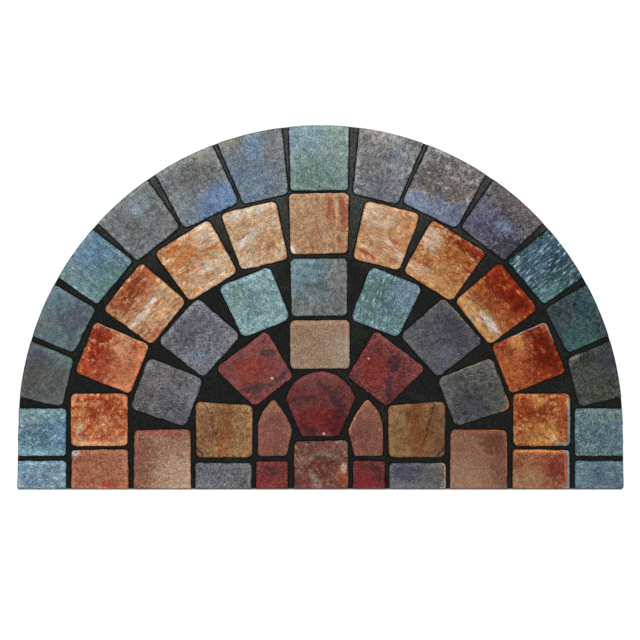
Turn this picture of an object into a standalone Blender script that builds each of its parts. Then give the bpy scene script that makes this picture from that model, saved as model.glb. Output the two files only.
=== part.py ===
# Half round doormat: a moulded needle-felt face with raised paving stones, on a flat rubber backing.
# The straight side lies towards -Y, the arc towards +Y, and the underside is at z = 0.

from collections import namedtuple
from math import asin, atan2, ceil, cos, pi, radians, sin, tan

import bmesh
import bpy

MM = 0.001

# Outline of the mat
WIDTH = 914 * MM  # along the straight side, 36 inches
ARC_RADIUS = 455 * MM
SKIRT = 94 * MM  # from the backing's straight edge up to the arc's centre
DEPTH = ARC_RADIUS + SKIRT
ARC_STEPS = 96
LEFT_CORNER = 2 * MM
RIGHT_CORNER = 5 * MM
STRAIGHT_EDGE = -DEPTH / 2
ARC_CENTRE = STRAIGHT_EDGE + SKIRT

# Layers, as heights above the floor
BACKING_TOP = 3.0 * MM
LAYER_GAP = 0.3 * MM
FACE_BOTTOM = BACKING_TOP + LAYER_GAP
GROUT_TOP = 5.3 * MM
STONE_TOP = 8.0 * MM
STONE_ROOT = 4.2 * MM  # inside the grout's thickness
BACKING_LIP = 1.5 * MM  # how far the backing shows past the felt along the straight edge
BACKING_EDGE = 0.5 * MM
SHOULDER = 2.2 * MM
SHOULDER_STEPS = 2
OVERSIZE = 20 * MM  # the grout blank and the outer stones reach past the trimmed outline
CORNER_STEP = radians(32)
CREASE = radians(35)
FLAT = radians(0.05)
WELD = 0.01 * MM

# Stones laid round the arc's centre, in millimetres and degrees, for the right half. The left half
# mirrors every stone whose bearing is more than a degree.
#   bearing    of the stone's middle, from straight up
#   distance   from the arc's centre to the stone's middle
#   length     along its axis, and its width at the inner and the outer end
#   lean       how much more upright its axis stands than its own radius
#   slope      the same for its two ends
#   corner     the radius of its corners
Wedge = namedtuple("Wedge", "bearing distance length inner outer lean slope corner colour")
WEDGES = (
    # rim, trimmed by the outline
    Wedge(-0.3, 413.5, 113, 86, 91, 0, 0, 5, "teal"),
    Wedge(13.6, 412, 117, 69, 105, -1, 0, 8, "slate blue"),
    Wedge(27.1, 415, 113, 91, 97, 0.5, 1, 9, "slate blue"),
    Wedge(41.3, 420, 104, 82, 103, 1, 3.5, 7, "slate"),
    Wedge(54.7, 425, 94, 85, 89, 1, 4.5, 5, "lake blue"),
    Wedge(67.3, 428, 89, 75, 86, 4, 4, 7, "deep teal"),
    Wedge(79.2, 429, 86, 75, 88, 7, 3, 9, "dark slate"),
    # second ring
    Wedge(-0.4, 307, 91, 86, 90, 0, 0.5, 7, "tan"),
    Wedge(18.5, 304, 90, 72, 85, 2, 5, 8, "tan"),
    Wedge(36.5, 311, 90, 85, 96, 4, 4.5, 8, "amber"),
    Wedge(54.9, 322, 90, 84, 91, 3.5, 3.5, 8, "rust"),
    Wedge(71.6, 330, 89, 79, 82, 4, 3, 7, "rust"),
    # third ring
    Wedge(-0.6, 211, 86, 83, 85, 0, 0, 7, "teal"),
    Wedge(27.5, 212, 85, 76, 83, 4, 6, 9, "pale teal"),
    Wedge(53.5, 226, 87, 85, 89, 3, 5.5, 9, "purple grey"),
    Wedge(77.3, 237, 88, 77, 82, 7.5, 8, 10, "purple grey"),
    # fourth ring
    Wedge(-0.4, 125, 73, 89, 90, 0, 0, 7, "sand"),
    Wedge(48.1, 128, 81, 74, 96, 10, 11, 8, "brick"),
)

# Upright stones beside the centre line, in millimetres from it and from the straight edge, for the
# right half. Those whose foot is below zero are trimmed by the straight edge.
Block = namedtuple("Block", "middle foot head foot_width head_width slope corner colour")
BLOCKS = (
    Block(429, 51, 122.5, 92, 92, 0, 5, "lake blue"),
    Block(429, -12, 43.5, 92, 92, 0, 5, "lake blue"),
    Block(333, 66, 145, 85.5, 85.5, 0, 8, "rust"),
    Block(332, -12, 60.5, 86, 85, -1, 5, "russet"),
    Block(238, -12, 90.5, 86.5, 84.5, -1, 7, "rose brown"),
    Block(145, 49, 130, 84, 86.5, 4, 8, "ochre"),
    Block(146, -12, 40.5, 84.5, 84.5, 0, 6, "purple grey"),
    Block(73, -12, 43.5, 47.5, 47.5, 0, 4, "dark red"),
    Block(1, -12, 73.5, 81.5, 81, 1, 6, "russet"),
)

# The keystone is a round head over straight sides that taper to a flat foot.
KEYSTONE_RADIUS = 53.5 * MM
KEYSTONE_CENTRE = 124.5 * MM  # its head's centre, its shoulders and its foot, above the straight edge
KEYSTONE_SHOULDER = 137 * MM
KEYSTONE_FOOT = 80.5 * MM
KEYSTONE_FOOT_WIDTH = 56 * MM
KEYSTONE_STEPS = 10
KEYSTONE_CORNER = 5 * MM

# The pointed stone beside the keystone: its corners, in millimetres, and their radius
Corner = namedtuple("Corner", "across up")
SPEARHEAD = (Corner(94, 51), Corner(94, 99), Corner(88, 117), Corner(71, 138), Corner(52.5, 113.5),
             Corner(42, 89.5), Corner(51.5, 51))
SPEARHEAD_CORNER = 5 * MM

COLOURS = {
    "grout": (38, 40, 37), "rubber": (104, 103, 106),
    "teal": (118, 142, 140), "pale teal": (125, 160, 158), "deep teal": (78, 100, 106),
    "lake blue": (104, 142, 160), "slate blue": (104, 112, 132), "slate": (103, 106, 116),
    "dark slate": (80, 82, 84), "purple grey": (100, 98, 108), "tan": (206, 160, 116),
    "amber": (206, 142, 84), "rust": (190, 92, 42), "russet": (140, 78, 60),
    "rose brown": (152, 102, 88), "sand": (182, 146, 122), "brick": (134, 54, 54),
    "ochre": (164, 118, 70), "dark red": (122, 44, 46), "salmon": (160, 102, 88),
}
FELT_ROUGHNESS = 0.95
RUBBER_ROUGHNESS = 0.7


def linear(level):
    """Return a display level from 0 to 255 as a linear light value."""
    value = level / 255
    return value / 12.92 if value <= 0.04045 else ((value + 0.055) / 1.055) ** 2.4


def finish(name, roughness):
    """Make the named colour's material."""
    material = bpy.data.materials.new(name)
    material.use_nodes = True
    shader = material.node_tree.nodes["Principled BSDF"]
    colour = [linear(level) for level in COLOURS[name]]
    shader.inputs["Base Color"].default_value = (*colour, 1)
    shader.inputs["Roughness"].default_value = roughness
    shader.inputs["Metallic"].default_value = 0
    material.diffuse_color = (*colour, 1)
    return material


def arc(centre, radius, start, end, steps):
    """Return the points of an arc between two angles, both ends included."""
    angles = (start + (end - start) * step / steps for step in range(steps + 1))
    return [(centre[0] + radius * cos(angle), centre[1] + radius * sin(angle)) for angle in angles]


def rounded(corners, radii):
    """Round the corners of an outline that runs anticlockwise, each by its own radius."""
    points = []
    for index, ((x, y), radius) in enumerate(zip(corners, radii)):
        before = corners[index - 1]
        after = corners[(index + 1) % len(corners)]
        if radius == 0:
            points.append((x, y))
            continue
        into = atan2(y - before[1], x - before[0])
        turn = (atan2(after[1] - y, after[0] - x) - into) % (2 * pi)
        setback = radius * tan(turn / 2)
        centre = (x - setback * cos(into) - radius * sin(into), y - setback * sin(into) + radius * cos(into))
        points += arc(centre, radius, into - pi / 2, into - pi / 2 + turn, ceil(turn / CORNER_STEP))
    return points


def mat_outline(lip):
    """Return the outline of a layer whose straight edge lies a lip's width inside the mat's."""
    foot = [(-WIDTH / 2, STRAIGHT_EDGE + lip), (WIDTH / 2, STRAIGHT_EDGE + lip)]
    sweep = arc((0, ARC_CENTRE), ARC_RADIUS, 0, pi, ARC_STEPS)
    return rounded(foot + sweep, [LEFT_CORNER, RIGHT_CORNER] + [0] * len(sweep))


def wedge_outline(stone):
    """Return a ring stone's outline from its row."""
    bearing = radians(stone.bearing)
    axis = radians(stone.bearing - stone.lean)
    across = radians(stone.bearing - stone.slope)
    middle = (stone.distance * sin(bearing), stone.distance * cos(bearing))
    corners = []
    for end, width, side in ((-1, stone.inner, -1), (-1, stone.inner, 1),
                             (1, stone.outer, 1), (1, stone.outer, -1)):
        x = middle[0] + end * stone.length / 2 * sin(axis) + side * width / 2 * cos(across)
        y = middle[1] + end * stone.length / 2 * cos(axis) - side * width / 2 * sin(across)
        corners.append((x * MM, ARC_CENTRE + y * MM))
    return rounded(corners, [stone.corner * MM] * len(corners))


def block_outline(stone):
    """Return an upright stone's outline from its row; its head slopes up outwards."""
    corners = []
    for height, width, side in ((stone.foot, stone.foot_width, -1), (stone.foot, stone.foot_width, 1),
                                (stone.head, stone.head_width, 1), (stone.head, stone.head_width, -1)):
        rise = side * width / 2 * tan(radians(stone.slope)) if height == stone.head else 0
        corners.append(((stone.middle + side * width / 2) * MM, STRAIGHT_EDGE + (height + rise) * MM))
    return rounded(corners, [stone.corner * MM] * len(corners))


def keystone_outline():
    """Return the keystone's outline."""
    foot = STRAIGHT_EDGE + KEYSTONE_FOOT
    centre = STRAIGHT_EDGE + KEYSTONE_CENTRE
    start = asin((KEYSTONE_SHOULDER - KEYSTONE_CENTRE) / KEYSTONE_RADIUS)
    head = arc((0, centre), KEYSTONE_RADIUS, start, pi - start, KEYSTONE_STEPS)
    half = KEYSTONE_FOOT_WIDTH / 2
    corners = [(-half, foot), (half, foot)] + head
    radii = [KEYSTONE_CORNER] * 3 + [0] * (len(head) - 2) + [KEYSTONE_CORNER]
    return rounded(corners, radii)


def spearhead_outline():
    """Return the outline of the pointed stone on the right of the keystone."""
    corners = [(point.across * MM, STRAIGHT_EDGE + point.up * MM) for point in SPEARHEAD]
    return rounded(corners, [SPEARHEAD_CORNER] * len(corners))


def mirrored(outline):
    """Return an outline on the other side of the centre line."""
    return [(-x, y) for x, y in reversed(outline)]


def stone_outlines():
    """Return every stone's outline with its colour."""
    stones = [(keystone_outline(), "dark red")]
    rows = [(row, wedge_outline(row), row.bearing > 1) for row in WEDGES]
    rows += [(row, block_outline(row), row.middle > 1) for row in BLOCKS]
    for row, outline, paired in rows:
        stones.append((outline, row.colour))
        if paired:
            stones.append((mirrored(outline), row.colour))
    pointed = spearhead_outline()
    stones += [(pointed, "salmon"), (mirrored(pointed), "salmon")]
    return stones


def add_object(name, mesh, collection):
    """Put a mesh in the scene as an object of its own."""
    thing = bpy.data.objects.new(name, mesh)
    collection.objects.link(thing)
    return thing


def add_cutter(name, mesh, collection):
    """Put in a mesh that only cuts or joins another piece."""
    cutter = add_object(name, mesh, collection)
    cutter.hide_render = True
    cutter.display_type = "WIRE"
    return cutter


def slab(name, outlines, bottom, top, shoulder, steps, materials, collection):
    """Raise each outline between two heights and round its upper edge; outlines come with a slot."""
    curve = bpy.data.curves.new(name, "CURVE")
    curve.dimensions = "2D"
    curve.fill_mode = "BOTH"
    curve.extrude = (top - bottom) / 2
    for material in materials:
        curve.materials.append(material)
    for points, slot in outlines:
        spline = curve.splines.new("POLY")
        spline.points.add(len(points) - 1)
        for point, (x, y) in zip(spline.points, points):
            point.co = (x, y, 0, 1)
        spline.use_cyclic_u = True
        spline.material_index = slot
    flat = add_object(name, curve, collection)
    flat.location.z = (top + bottom) / 2
    bpy.context.view_layer.update()
    seen = flat.evaluated_get(bpy.context.evaluated_depsgraph_get())
    mesh = bpy.data.meshes.new_from_object(seen)
    mesh.transform(flat.matrix_world)
    bpy.data.objects.remove(flat)

    work = bmesh.new()
    work.from_mesh(mesh)
    bmesh.ops.remove_doubles(work, verts=work.verts, dist=WELD)
    bmesh.ops.dissolve_limit(work, angle_limit=FLAT, verts=work.verts, edges=work.edges)
    if shoulder:
        rim = [edge for edge in work.edges if all(vert.co.z > top - WELD for vert in edge.verts)]
        bmesh.ops.bevel(work, geom=rim, offset=shoulder, segments=steps, profile=0.5, affect="EDGES")
    bmesh.ops.recalc_face_normals(work, faces=work.faces)
    work.to_mesh(mesh)
    work.free()
    mesh.shade_smooth()
    mesh.set_sharp_from_angle(angle=CREASE)
    return mesh


def clear_scene():
    """Remove every object and collection."""
    for thing in list(bpy.data.objects):
        bpy.data.objects.remove(thing)
    for group in list(bpy.data.collections):
        bpy.data.collections.remove(group)


def new_collection(name):
    """Add a collection to the scene."""
    collection = bpy.data.collections.new(name)
    bpy.context.scene.collection.children.link(collection)
    return collection


def build_backing(collection):
    """Make the flat rubber backing, which the mat lies on."""
    rubber = [finish("rubber", RUBBER_ROUGHNESS)]
    outline = [(mat_outline(0), 0)]
    mesh = slab("rubber_backing", outline, 0, BACKING_TOP, BACKING_EDGE, 1, rubber, collection)
    add_object("rubber_backing", mesh, collection)


def build_face(collection, cutters):
    """Make the felt face: a grout sheet joined with its raised stones and trimmed to the outline."""
    stones = stone_outlines()
    names = ["grout"] + sorted({colour for outline, colour in stones})
    felts = [finish(name, FELT_ROUGHNESS) for name in names]
    outlines = [(outline, names.index(colour)) for outline, colour in stones]
    raised = slab("stones", outlines, STONE_ROOT, STONE_TOP, SHOULDER, SHOULDER_STEPS, felts, collection)
    outline = [(mat_outline(BACKING_LIP), 0)]
    trim = slab("trim", outline, 0, STONE_TOP + OVERSIZE, 0, 1, felts[:1], collection)

    blank = bmesh.new()
    bmesh.ops.create_cube(blank, size=1)
    size = (WIDTH + 2 * OVERSIZE, DEPTH + 2 * OVERSIZE, GROUT_TOP - FACE_BOTTOM)
    bmesh.ops.scale(blank, vec=size, verts=blank.verts)
    bmesh.ops.translate(blank, vec=(0, 0, (GROUT_TOP + FACE_BOTTOM) / 2), verts=blank.verts)
    mesh = bpy.data.meshes.new("felt_face")
    blank.to_mesh(mesh)
    blank.free()
    for felt in felts:
        mesh.materials.append(felt)
    face = add_object("felt_face", mesh, collection)

    for operation, cutter in (("UNION", add_cutter("stones", raised, cutters)),
                              ("INTERSECT", add_cutter("trim", trim, cutters))):
        join = face.modifiers.new(cutter.name, "BOOLEAN")
        join.operation = operation
        join.solver = "EXACT"
        join.material_mode = "TRANSFER"
        join.object = cutter


def main():
    """Build the doormat."""
    clear_scene()
    mat = new_collection("half_round_doormat")
    cutters = new_collection("cutters")
    build_backing(mat)
    build_face(mat, cutters)


main()
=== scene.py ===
# Half round doormat: a printed needle-felt face with raised paving stones, on a rubber backing.
import logging
from collections.abc import Callable
from dataclasses import dataclass, replace
from enum import Enum
from math import asin, atan2, ceil, cos, pi, radians, sin, tan

import bpy
import numpy as np
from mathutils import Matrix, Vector, kdtree, noise
from mathutils.geometry import delaunay_2d_cdt


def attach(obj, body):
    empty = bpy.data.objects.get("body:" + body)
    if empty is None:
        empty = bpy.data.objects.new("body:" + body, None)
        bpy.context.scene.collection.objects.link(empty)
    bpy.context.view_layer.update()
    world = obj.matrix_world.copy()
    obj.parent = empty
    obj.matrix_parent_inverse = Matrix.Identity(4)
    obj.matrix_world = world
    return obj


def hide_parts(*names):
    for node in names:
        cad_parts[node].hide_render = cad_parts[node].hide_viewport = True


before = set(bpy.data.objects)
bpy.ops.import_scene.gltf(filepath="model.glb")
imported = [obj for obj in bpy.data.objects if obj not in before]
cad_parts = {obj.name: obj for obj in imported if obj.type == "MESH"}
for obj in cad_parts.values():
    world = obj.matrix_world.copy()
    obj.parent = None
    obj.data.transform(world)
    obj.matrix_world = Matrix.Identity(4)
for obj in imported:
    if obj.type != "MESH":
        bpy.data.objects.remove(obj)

LOG = logging.getLogger("doormat")

MM = 0.001
ROOT = "root"

Pair = tuple[float, float]
Levels = tuple[float, float, float]  # a display colour, each part from 0 to 255
Loop = np.ndarray  # points in metres, one row each, anticlockwise


# Plane geometry

def arc(centre: Pair, radius: float, start: float, end: float, steps: int) -> list[Pair]:
    """Return the points of an arc between two angles in radians, both ends included."""
    angles = (start + (end - start) * step / steps for step in range(steps + 1))
    return [(centre[0] + radius * cos(angle), centre[1] + radius * sin(angle)) for angle in angles]


def rounded(corners: list[Pair], radii: list[float]) -> Loop:
    """Round the corners of an outline that runs anticlockwise.

    Args:
        corners: The outline's corners.
        radii: Each corner's radius; a corner of no radius stays a point.

    Returns:
        The rounded outline.
    """
    corner_step = radians(8)
    points = []
    for index, ((x, y), radius) in enumerate(zip(corners, radii)):
        if radius == 0:
            points.append((x, y))
            continue
        before, after = corners[index - 1], corners[(index + 1) % len(corners)]
        into = atan2(y - before[1], x - before[0])
        turn = (atan2(after[1] - y, after[0] - x) - into) % (2 * pi)
        setback = radius * tan(turn / 2)
        centre = (x - setback * cos(into) - radius * sin(into), y - setback * sin(into) + radius * cos(into))
        points += arc(centre, radius, into - pi / 2, into - pi / 2 + turn, ceil(turn / corner_step))
    return np.array(points)


def clipped(loop: Loop, fence: Loop) -> Loop:
    """Cut an outline by a convex fence.

    Args:
        loop: The outline.
        fence: The convex outline that it is kept inside.

    Returns:
        The outline of the area inside both.
    """
    points = loop
    for start, end in zip(fence, np.roll(fence, -1, axis=0)):
        run = end - start
        side = run[0] * (points[:, 1] - start[1]) - run[1] * (points[:, 0] - start[0])
        if side.min() >= 0:
            continue
        kept = []
        for index, here in enumerate(side):
            before = side[index - 1]
            if (here >= 0) != (before >= 0):
                share = before / (before - here)
                kept.append(points[index - 1] + share * (points[index] - points[index - 1]))
            if here >= 0:
                kept.append(points[index])
        points = np.array(kept)
    return points


def along(run: Loop, count: int) -> Loop:
    """Divide an open run into even steps.

    Args:
        run: The run's points.
        count: How many steps.

    Returns:
        One point more than the steps, both ends included.
    """
    travelled = np.concatenate([[0], np.cumsum(np.hypot(*np.diff(run, axis=0).T))])
    stops = np.linspace(0, travelled[-1], count + 1)
    return np.stack([np.interp(stops, travelled, run[:, axis]) for axis in range(2)], axis=1)


def spaced(loop: Loop, step: float) -> Loop:
    """Return evenly spaced points round an outline, about a step apart."""
    closed = np.vstack([loop, loop[:1]])
    length = np.hypot(*np.diff(closed, axis=0).T).sum()
    return along(closed, round(length / step))[:-1]


def offsets(loop: Loop, widths: np.ndarray) -> Loop:
    """Return how far each point moves inwards so that each edge moves by its own width.

    Args:
        loop: The outline.
        widths: The width for the edge that leaves each point.

    Returns:
        The move of each point.
    """
    sharp_turn = 0.7
    run = np.roll(loop, -1, axis=0) - loop
    leaving = np.stack([run[:, 1], -run[:, 0]], axis=1) / np.hypot(*run.T)[:, None]
    arriving = np.roll(leaving, 1, axis=0)
    before = np.roll(widths, 1)
    middle = leaving + arriving
    middle /= np.hypot(*middle.T)[:, None]
    moves = -middle * ((widths + before) / 2)[:, None]
    cross = arriving[:, 0] * leaving[:, 1] - arriving[:, 1] * leaving[:, 0]
    for index in np.flatnonzero(np.abs(cross) > sharp_turn):
        sides = np.array([arriving[index], leaving[index]])
        moves[index] = -np.linalg.solve(sides, [before[index], widths[index]])
    return moves


def gap_to(points: Loop, fence: Loop) -> np.ndarray:
    """Measure how far points lie from an outline.

    Args:
        points: The points.
        fence: The outline.

    Returns:
        Each point's distance to the nearest edge.
    """
    run = np.roll(fence, -1, axis=0) - fence
    rel = points[:, None, :] - fence[None, :, :]
    share = (rel * run).sum(-1) / (run * run).sum(-1)
    rel -= np.clip(share, 0, 1)[..., None] * run
    return np.sqrt((rel * rel).sum(-1).min(1))


def within(points: Loop, loop: Loop) -> np.ndarray:
    """Tell which points lie inside an outline.

    Args:
        points: The points.
        loop: The outline.

    Returns:
        True for each point inside.
    """
    inside = np.zeros(len(points), bool)
    x, y = points.T
    for (x0, y0), (x1, y1) in zip(loop, np.roll(loop, -1, axis=0)):
        if y0 != y1:
            inside ^= ((y0 > y) != (y1 > y)) & (x < x0 + (y - y0) / (y1 - y0) * (x1 - x0))
    return inside


def ripple(points: Loop, span: float, seed: float) -> np.ndarray:
    """Return smooth noise from about -1 to 1 at points of the plane; the span is its wavelength."""
    return np.array([noise.noise(Vector((x / span, y / span, seed))) for x, y in points])


# Layout

@dataclass(frozen=True)
class MatPlan:
    """The mat's outline: a straight edge towards -Y, short sides, and an arc."""

    width: float = 914 * MM
    arc_radius: float = 455 * MM
    skirt: float = 94 * MM
    left_corner: float = 2 * MM
    right_corner: float = 5 * MM
    arc_steps: int = 240

    @property
    def straight_edge(self) -> float:
        """Where the straight edge lies."""
        return -(self.arc_radius + self.skirt) / 2

    @property
    def arc_centre(self) -> float:
        """Where the arc's centre lies."""
        return self.straight_edge + self.skirt

    def outline(self, lip: float = 0, inset: float = 0) -> Loop:
        """Return the outline of one layer.

        Args:
            lip: How far its straight edge lies inside the mat's.
            inset: How far its sides and its arc do.

        Returns:
            The outline.
        """
        foot = self.straight_edge + lip
        half = self.width / 2 - inset
        sweep = arc((0, self.arc_centre), self.arc_radius - inset, 0, pi, self.arc_steps)
        radii = [self.left_corner, self.right_corner] + [0] * len(sweep)
        return rounded([(-half, foot), (half, foot)] + sweep, radii)


@dataclass(frozen=True)
class Layers:
    """Heights above the floor."""

    backing: float = 3.0 * MM
    felt_bottom: float = 3.06 * MM
    ground: float = 5.3 * MM
    stone: float = 8.0 * MM
    lip: float = 2.1 * MM  # how far the backing shows past the felt's straight edge


# Shader nodes

def light_of(levels: Levels) -> tuple[float, ...]:
    """Return a display colour as the linear colour of a socket, by the sRGB curve."""
    values = (level / 255 for level in levels)
    linear = (value / 12.92 if value <= 0.04045 else ((value + 0.055) / 1.055) ** 2.4 for value in values)
    return *linear, 1.0


def darker_or_paler(levels: Levels, factor: float) -> Levels:
    """Return a display colour, darker or paler by a factor."""
    return tuple(min(level * factor, 255) for level in levels)


def arithmetic(operation: str, reflected: bool = False) -> Callable[..., "Value"]:
    """Make an operator for node outputs.

    Args:
        operation: The Math node's operation.
        reflected: Whether the output is the second operand.

    Returns:
        The method, which adds the node.
    """
    def apply(self: "Value", other: "Value | float" = 0) -> "Value":
        """Return the node's output."""
        operands = (other, self) if reflected else (self, other)
        return self.graph.add("ShaderNodeMath", {"operation": operation}, dict(enumerate(operands)))
    return apply


class Value:
    """A node's output. Arithmetic on it adds Math nodes."""

    def __init__(self, graph: "Graph", node: bpy.types.Node, output: str | int) -> None:
        """Wrap an output of a node, given by its name or number."""
        self.graph, self.node, self.output = graph, node, output

    __add__ = arithmetic("ADD")
    __radd__ = arithmetic("ADD", reflected=True)
    __sub__ = arithmetic("SUBTRACT")
    __rsub__ = arithmetic("SUBTRACT", reflected=True)
    __mul__ = arithmetic("MULTIPLY")
    __rmul__ = arithmetic("MULTIPLY", reflected=True)
    __truediv__ = arithmetic("DIVIDE")
    __abs__ = arithmetic("ABSOLUTE")

    @property
    def socket(self) -> bpy.types.NodeSocket:
        """The output's socket."""
        return self.node.outputs[self.output]


Input = Value | float | tuple


class Graph:
    """The node tree of one material."""

    def __init__(self, name: str) -> None:
        """Start an empty material.

        Args:
            name: The material's name.
        """
        self.material = bpy.data.materials.new(name)
        self.material.use_nodes = True
        self.nodes = self.material.node_tree.nodes
        self.links = self.material.node_tree.links
        self.nodes.clear()

    def add(self, kind: str, settings: dict[str, object] | None = None,
            sockets: dict[str | int, Input] | None = None, output: str | int = 0) -> Value:
        """Add a node.

        Args:
            kind: The node's type.
            settings: Its properties, set first; "stops" are a ramp's places and colours.
            sockets: A value or a link for each input, by name or number.
            output: The output to return.

        Returns:
            The chosen output.
        """
        node = self.nodes.new(kind)
        for name, setting in (settings or {}).items():
            if name != "stops":
                setattr(node, name, setting)
                continue
            elements = node.color_ramp.elements
            while len(elements) < len(setting):
                elements.new(1)
            for element, (place, colour) in zip(elements, setting):
                element.position = place
                element.color = colour
        for name, value in (sockets or {}).items():
            if isinstance(value, Value):
                self.links.new(value.socket, node.inputs[name])
            else:
                node.inputs[name].default_value = value
        return Value(self, node, output)

    def place(self) -> Value:
        """Return the place on the piece, in metres."""
        return self.add("ShaderNodeTexCoord", output="Object")

    def attribute(self, name: str) -> Value:
        """Return a number that the mesh carries."""
        return self.add("ShaderNodeAttribute", {"attribute_name": name}, output="Fac")

    def axis(self, vector: Value, name: str) -> Value:
        """Return one of a vector's parts, X, Y or Z."""
        return self.add("ShaderNodeSeparateXYZ", sockets={0: vector}, output=name)

    def framed(self, vector: Value, middle: tuple, turn: float, scale: tuple) -> Value:
        """Return a vector in a frame with its own middle, turn in radians and units of length."""
        sockets = {"Vector": vector, "Location": middle, "Rotation": (0, 0, turn), "Scale": scale}
        return self.add("ShaderNodeMapping", {"vector_type": "TEXTURE"}, sockets)

    def noise(self, vector: Value, size: float, detail: float = 2, roughness: float = 0.5,
              distortion: float = 0) -> Value:
        """Return fractal noise about 0.5, with lumps of the given size."""
        sockets = {"Vector": vector, "Scale": 1 / size, "Detail": detail, "Roughness": roughness,
                   "Distortion": distortion}
        return self.add("ShaderNodeTexNoise", sockets=sockets)

    def fade(self, value: Value, start: float, end: float) -> Value:
        """Return a soft step from 0 at the start to 1 at the end."""
        sockets = {"Value": value, "From Min": start, "From Max": end}
        return self.add("ShaderNodeMapRange", {"interpolation_type": "SMOOTHSTEP"}, sockets)

    def blend(self, first: Input, second: Input, mask: Input, blend_type: str = "MIX") -> Value:
        """Return the first colour where the mask is 0 and the second where it is 1."""
        sockets = {0: mask, 6: first, 7: second}
        return self.add("ShaderNodeMix", {"data_type": "RGBA", "blend_type": blend_type}, sockets, 2)

    def scaled(self, colour: Value, level: Value) -> Value:
        """Return a colour times a number."""
        grey = self.add("ShaderNodeCombineColor", sockets={0: level, 1: level, 2: level})
        return self.blend(colour, grey, 1.0, "MULTIPLY")

    def length(self, vector: Value) -> Value:
        """Return a vector's length."""
        return self.add("ShaderNodeVectorMath", {"operation": "LENGTH"}, {0: vector}, "Value")

    def bump(self, height: Value, strength: float, distance: float) -> Value:
        """Return the normal of a surface with fine relief."""
        sockets = {"Strength": strength, "Distance": distance, "Height": height}
        return self.add("ShaderNodeBump", sockets=sockets)

    def finish(self, sockets: dict[str | int, Input]) -> bpy.types.Material:
        """Add the surface shader and return the material."""
        surface = self.add("ShaderNodeBsdfPrincipled", sockets=sockets)
        self.add("ShaderNodeOutputMaterial", sockets={"Surface": surface})
        return self.material


# Finishes

@dataclass(frozen=True)
class Tones:
    """A dye's dark, middle and light tones."""

    dark: Levels
    body: Levels
    light: Levels
    deepest: float = 0.8  # the ramp's two ends, against the dark and the light tone
    palest: float = 1.14
    stops: tuple[float, ...] = (0, 0.26, 0.5, 0.74, 1)

    def shaded(self, factor: float) -> "Tones":
        """Return the same tones, darker or paler; a darker copy is painted shade."""
        return Tones(*(darker_or_paler(levels, factor) for levels in (self.dark, self.body, self.light)))

    def ramp(self, graph: Graph, tone: Value) -> Value:
        """Find the dye's colour for a tone.

        Args:
            graph: The print's nodes.
            tone: The tone, from 0, dark, to 1, light.

        Returns:
            The colour.
        """
        ends = darker_or_paler(self.dark, self.deepest), darker_or_paler(self.light, self.palest)
        levels = (ends[0], self.dark, self.body, self.light, ends[1])
        stops = [(place, light_of(level)) for place, level in zip(self.stops, levels)]
        return graph.add("ShaderNodeValToRGB", {"stops": stops}, {"Fac": tone})


@dataclass(frozen=True)
class Canvas:
    """What a print's layers are painted by, with lengths in millimetres."""

    place: Value  # in the stone's frame
    half: Pair  # half the stone's width and length
    rim: Value  # the distance from the stone's outline
    tone: Value  # the stone's mottling, from 0, dark, to 1, light
    warp: Value  # noise that breaks up edges, about 0


@dataclass(frozen=True)
class Layer:
    """A dye over part of a print.

    Places and reaches are in percent of half the stone's width and length. Covers and strengths
    are in percent, lengths and sizes in millimetres, and turns in degrees from the stone's width.
    """

    levels: Levels

    def shaded(self, factor: float) -> "Layer":
        """Return the same layer, darker or paler; a darker copy is painted shade."""
        return replace(self, levels=darker_or_paler(self.levels, factor))

    def mask(self, graph: Graph, canvas: Canvas) -> Value:
        """Find where the layer lies.

        Args:
            graph: The print's nodes.
            canvas: What the layer is painted by.

        Returns:
            The mask, from 0 to 1.
        """
        raise NotImplementedError

    def paint(self, graph: Graph, canvas: Canvas, colour: Value) -> Value:
        """Return a colour with the layer over it."""
        spread = 0.16
        tones = Tones(darker_or_paler(self.levels, 1 - spread), self.levels, darker_or_paler(self.levels, 1 + spread))
        return graph.blend(colour, tones.ramp(graph, canvas.tone), self.mask(graph, canvas))


FLATTENED = 1e6  # a scale that takes an axis out of a length
COVER_SPAN = 0.36  # how far noise falls from where it covers nothing to where it covers all


@dataclass(frozen=True)
class Patch(Layer):
    """A soft patch."""

    across: float
    along: float
    wide: float
    high: float
    strength: float = 70
    turn: float = 0
    fray: float = 2.6  # how far noise moves its edge
    edge: Pair = (1.55, 0.6)  # where it ends and where it is full, in reaches

    def mask(self, graph: Graph, canvas: Canvas) -> Value:
        """Find where the patch lies; the arguments are as any layer's."""
        wide, high = canvas.half
        middle = (self.across / 100 * wide, self.along / 100 * high, 0)
        scale = (self.wide / 100 * wide, self.high / 100 * high, FLATTENED)
        spot = graph.framed(canvas.place, middle, radians(self.turn), scale)
        away = graph.length(spot) + canvas.warp * self.fray
        return graph.fade(away, *self.edge) * (self.strength / 100)


@dataclass(frozen=True)
class Streaks(Layer):
    """Veins that run one way all over the stone."""

    turn: float
    cover: float
    strength: float
    length: float
    width: float = 2.8
    fray: float = 0.25
    edge: float = 0.68  # the noise that a vein starts at when the cover is none
    softness: float = 0.13

    def mask(self, graph: Graph, canvas: Canvas) -> Value:
        """Find where the veins lie; the arguments are as any layer's."""
        cover = self.cover / 100
        start = (self.turn, self.width * 7, cover * 90)
        run = graph.framed(canvas.place, start, radians(self.turn), (self.length, self.width, self.width))
        vein = graph.noise(run, 1, detail=3, roughness=0.6, distortion=0.25) + canvas.warp * self.fray
        edge = self.edge - COVER_SPAN * cover
        return graph.fade(vein, edge, edge + self.softness) * (self.strength / 100)


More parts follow.
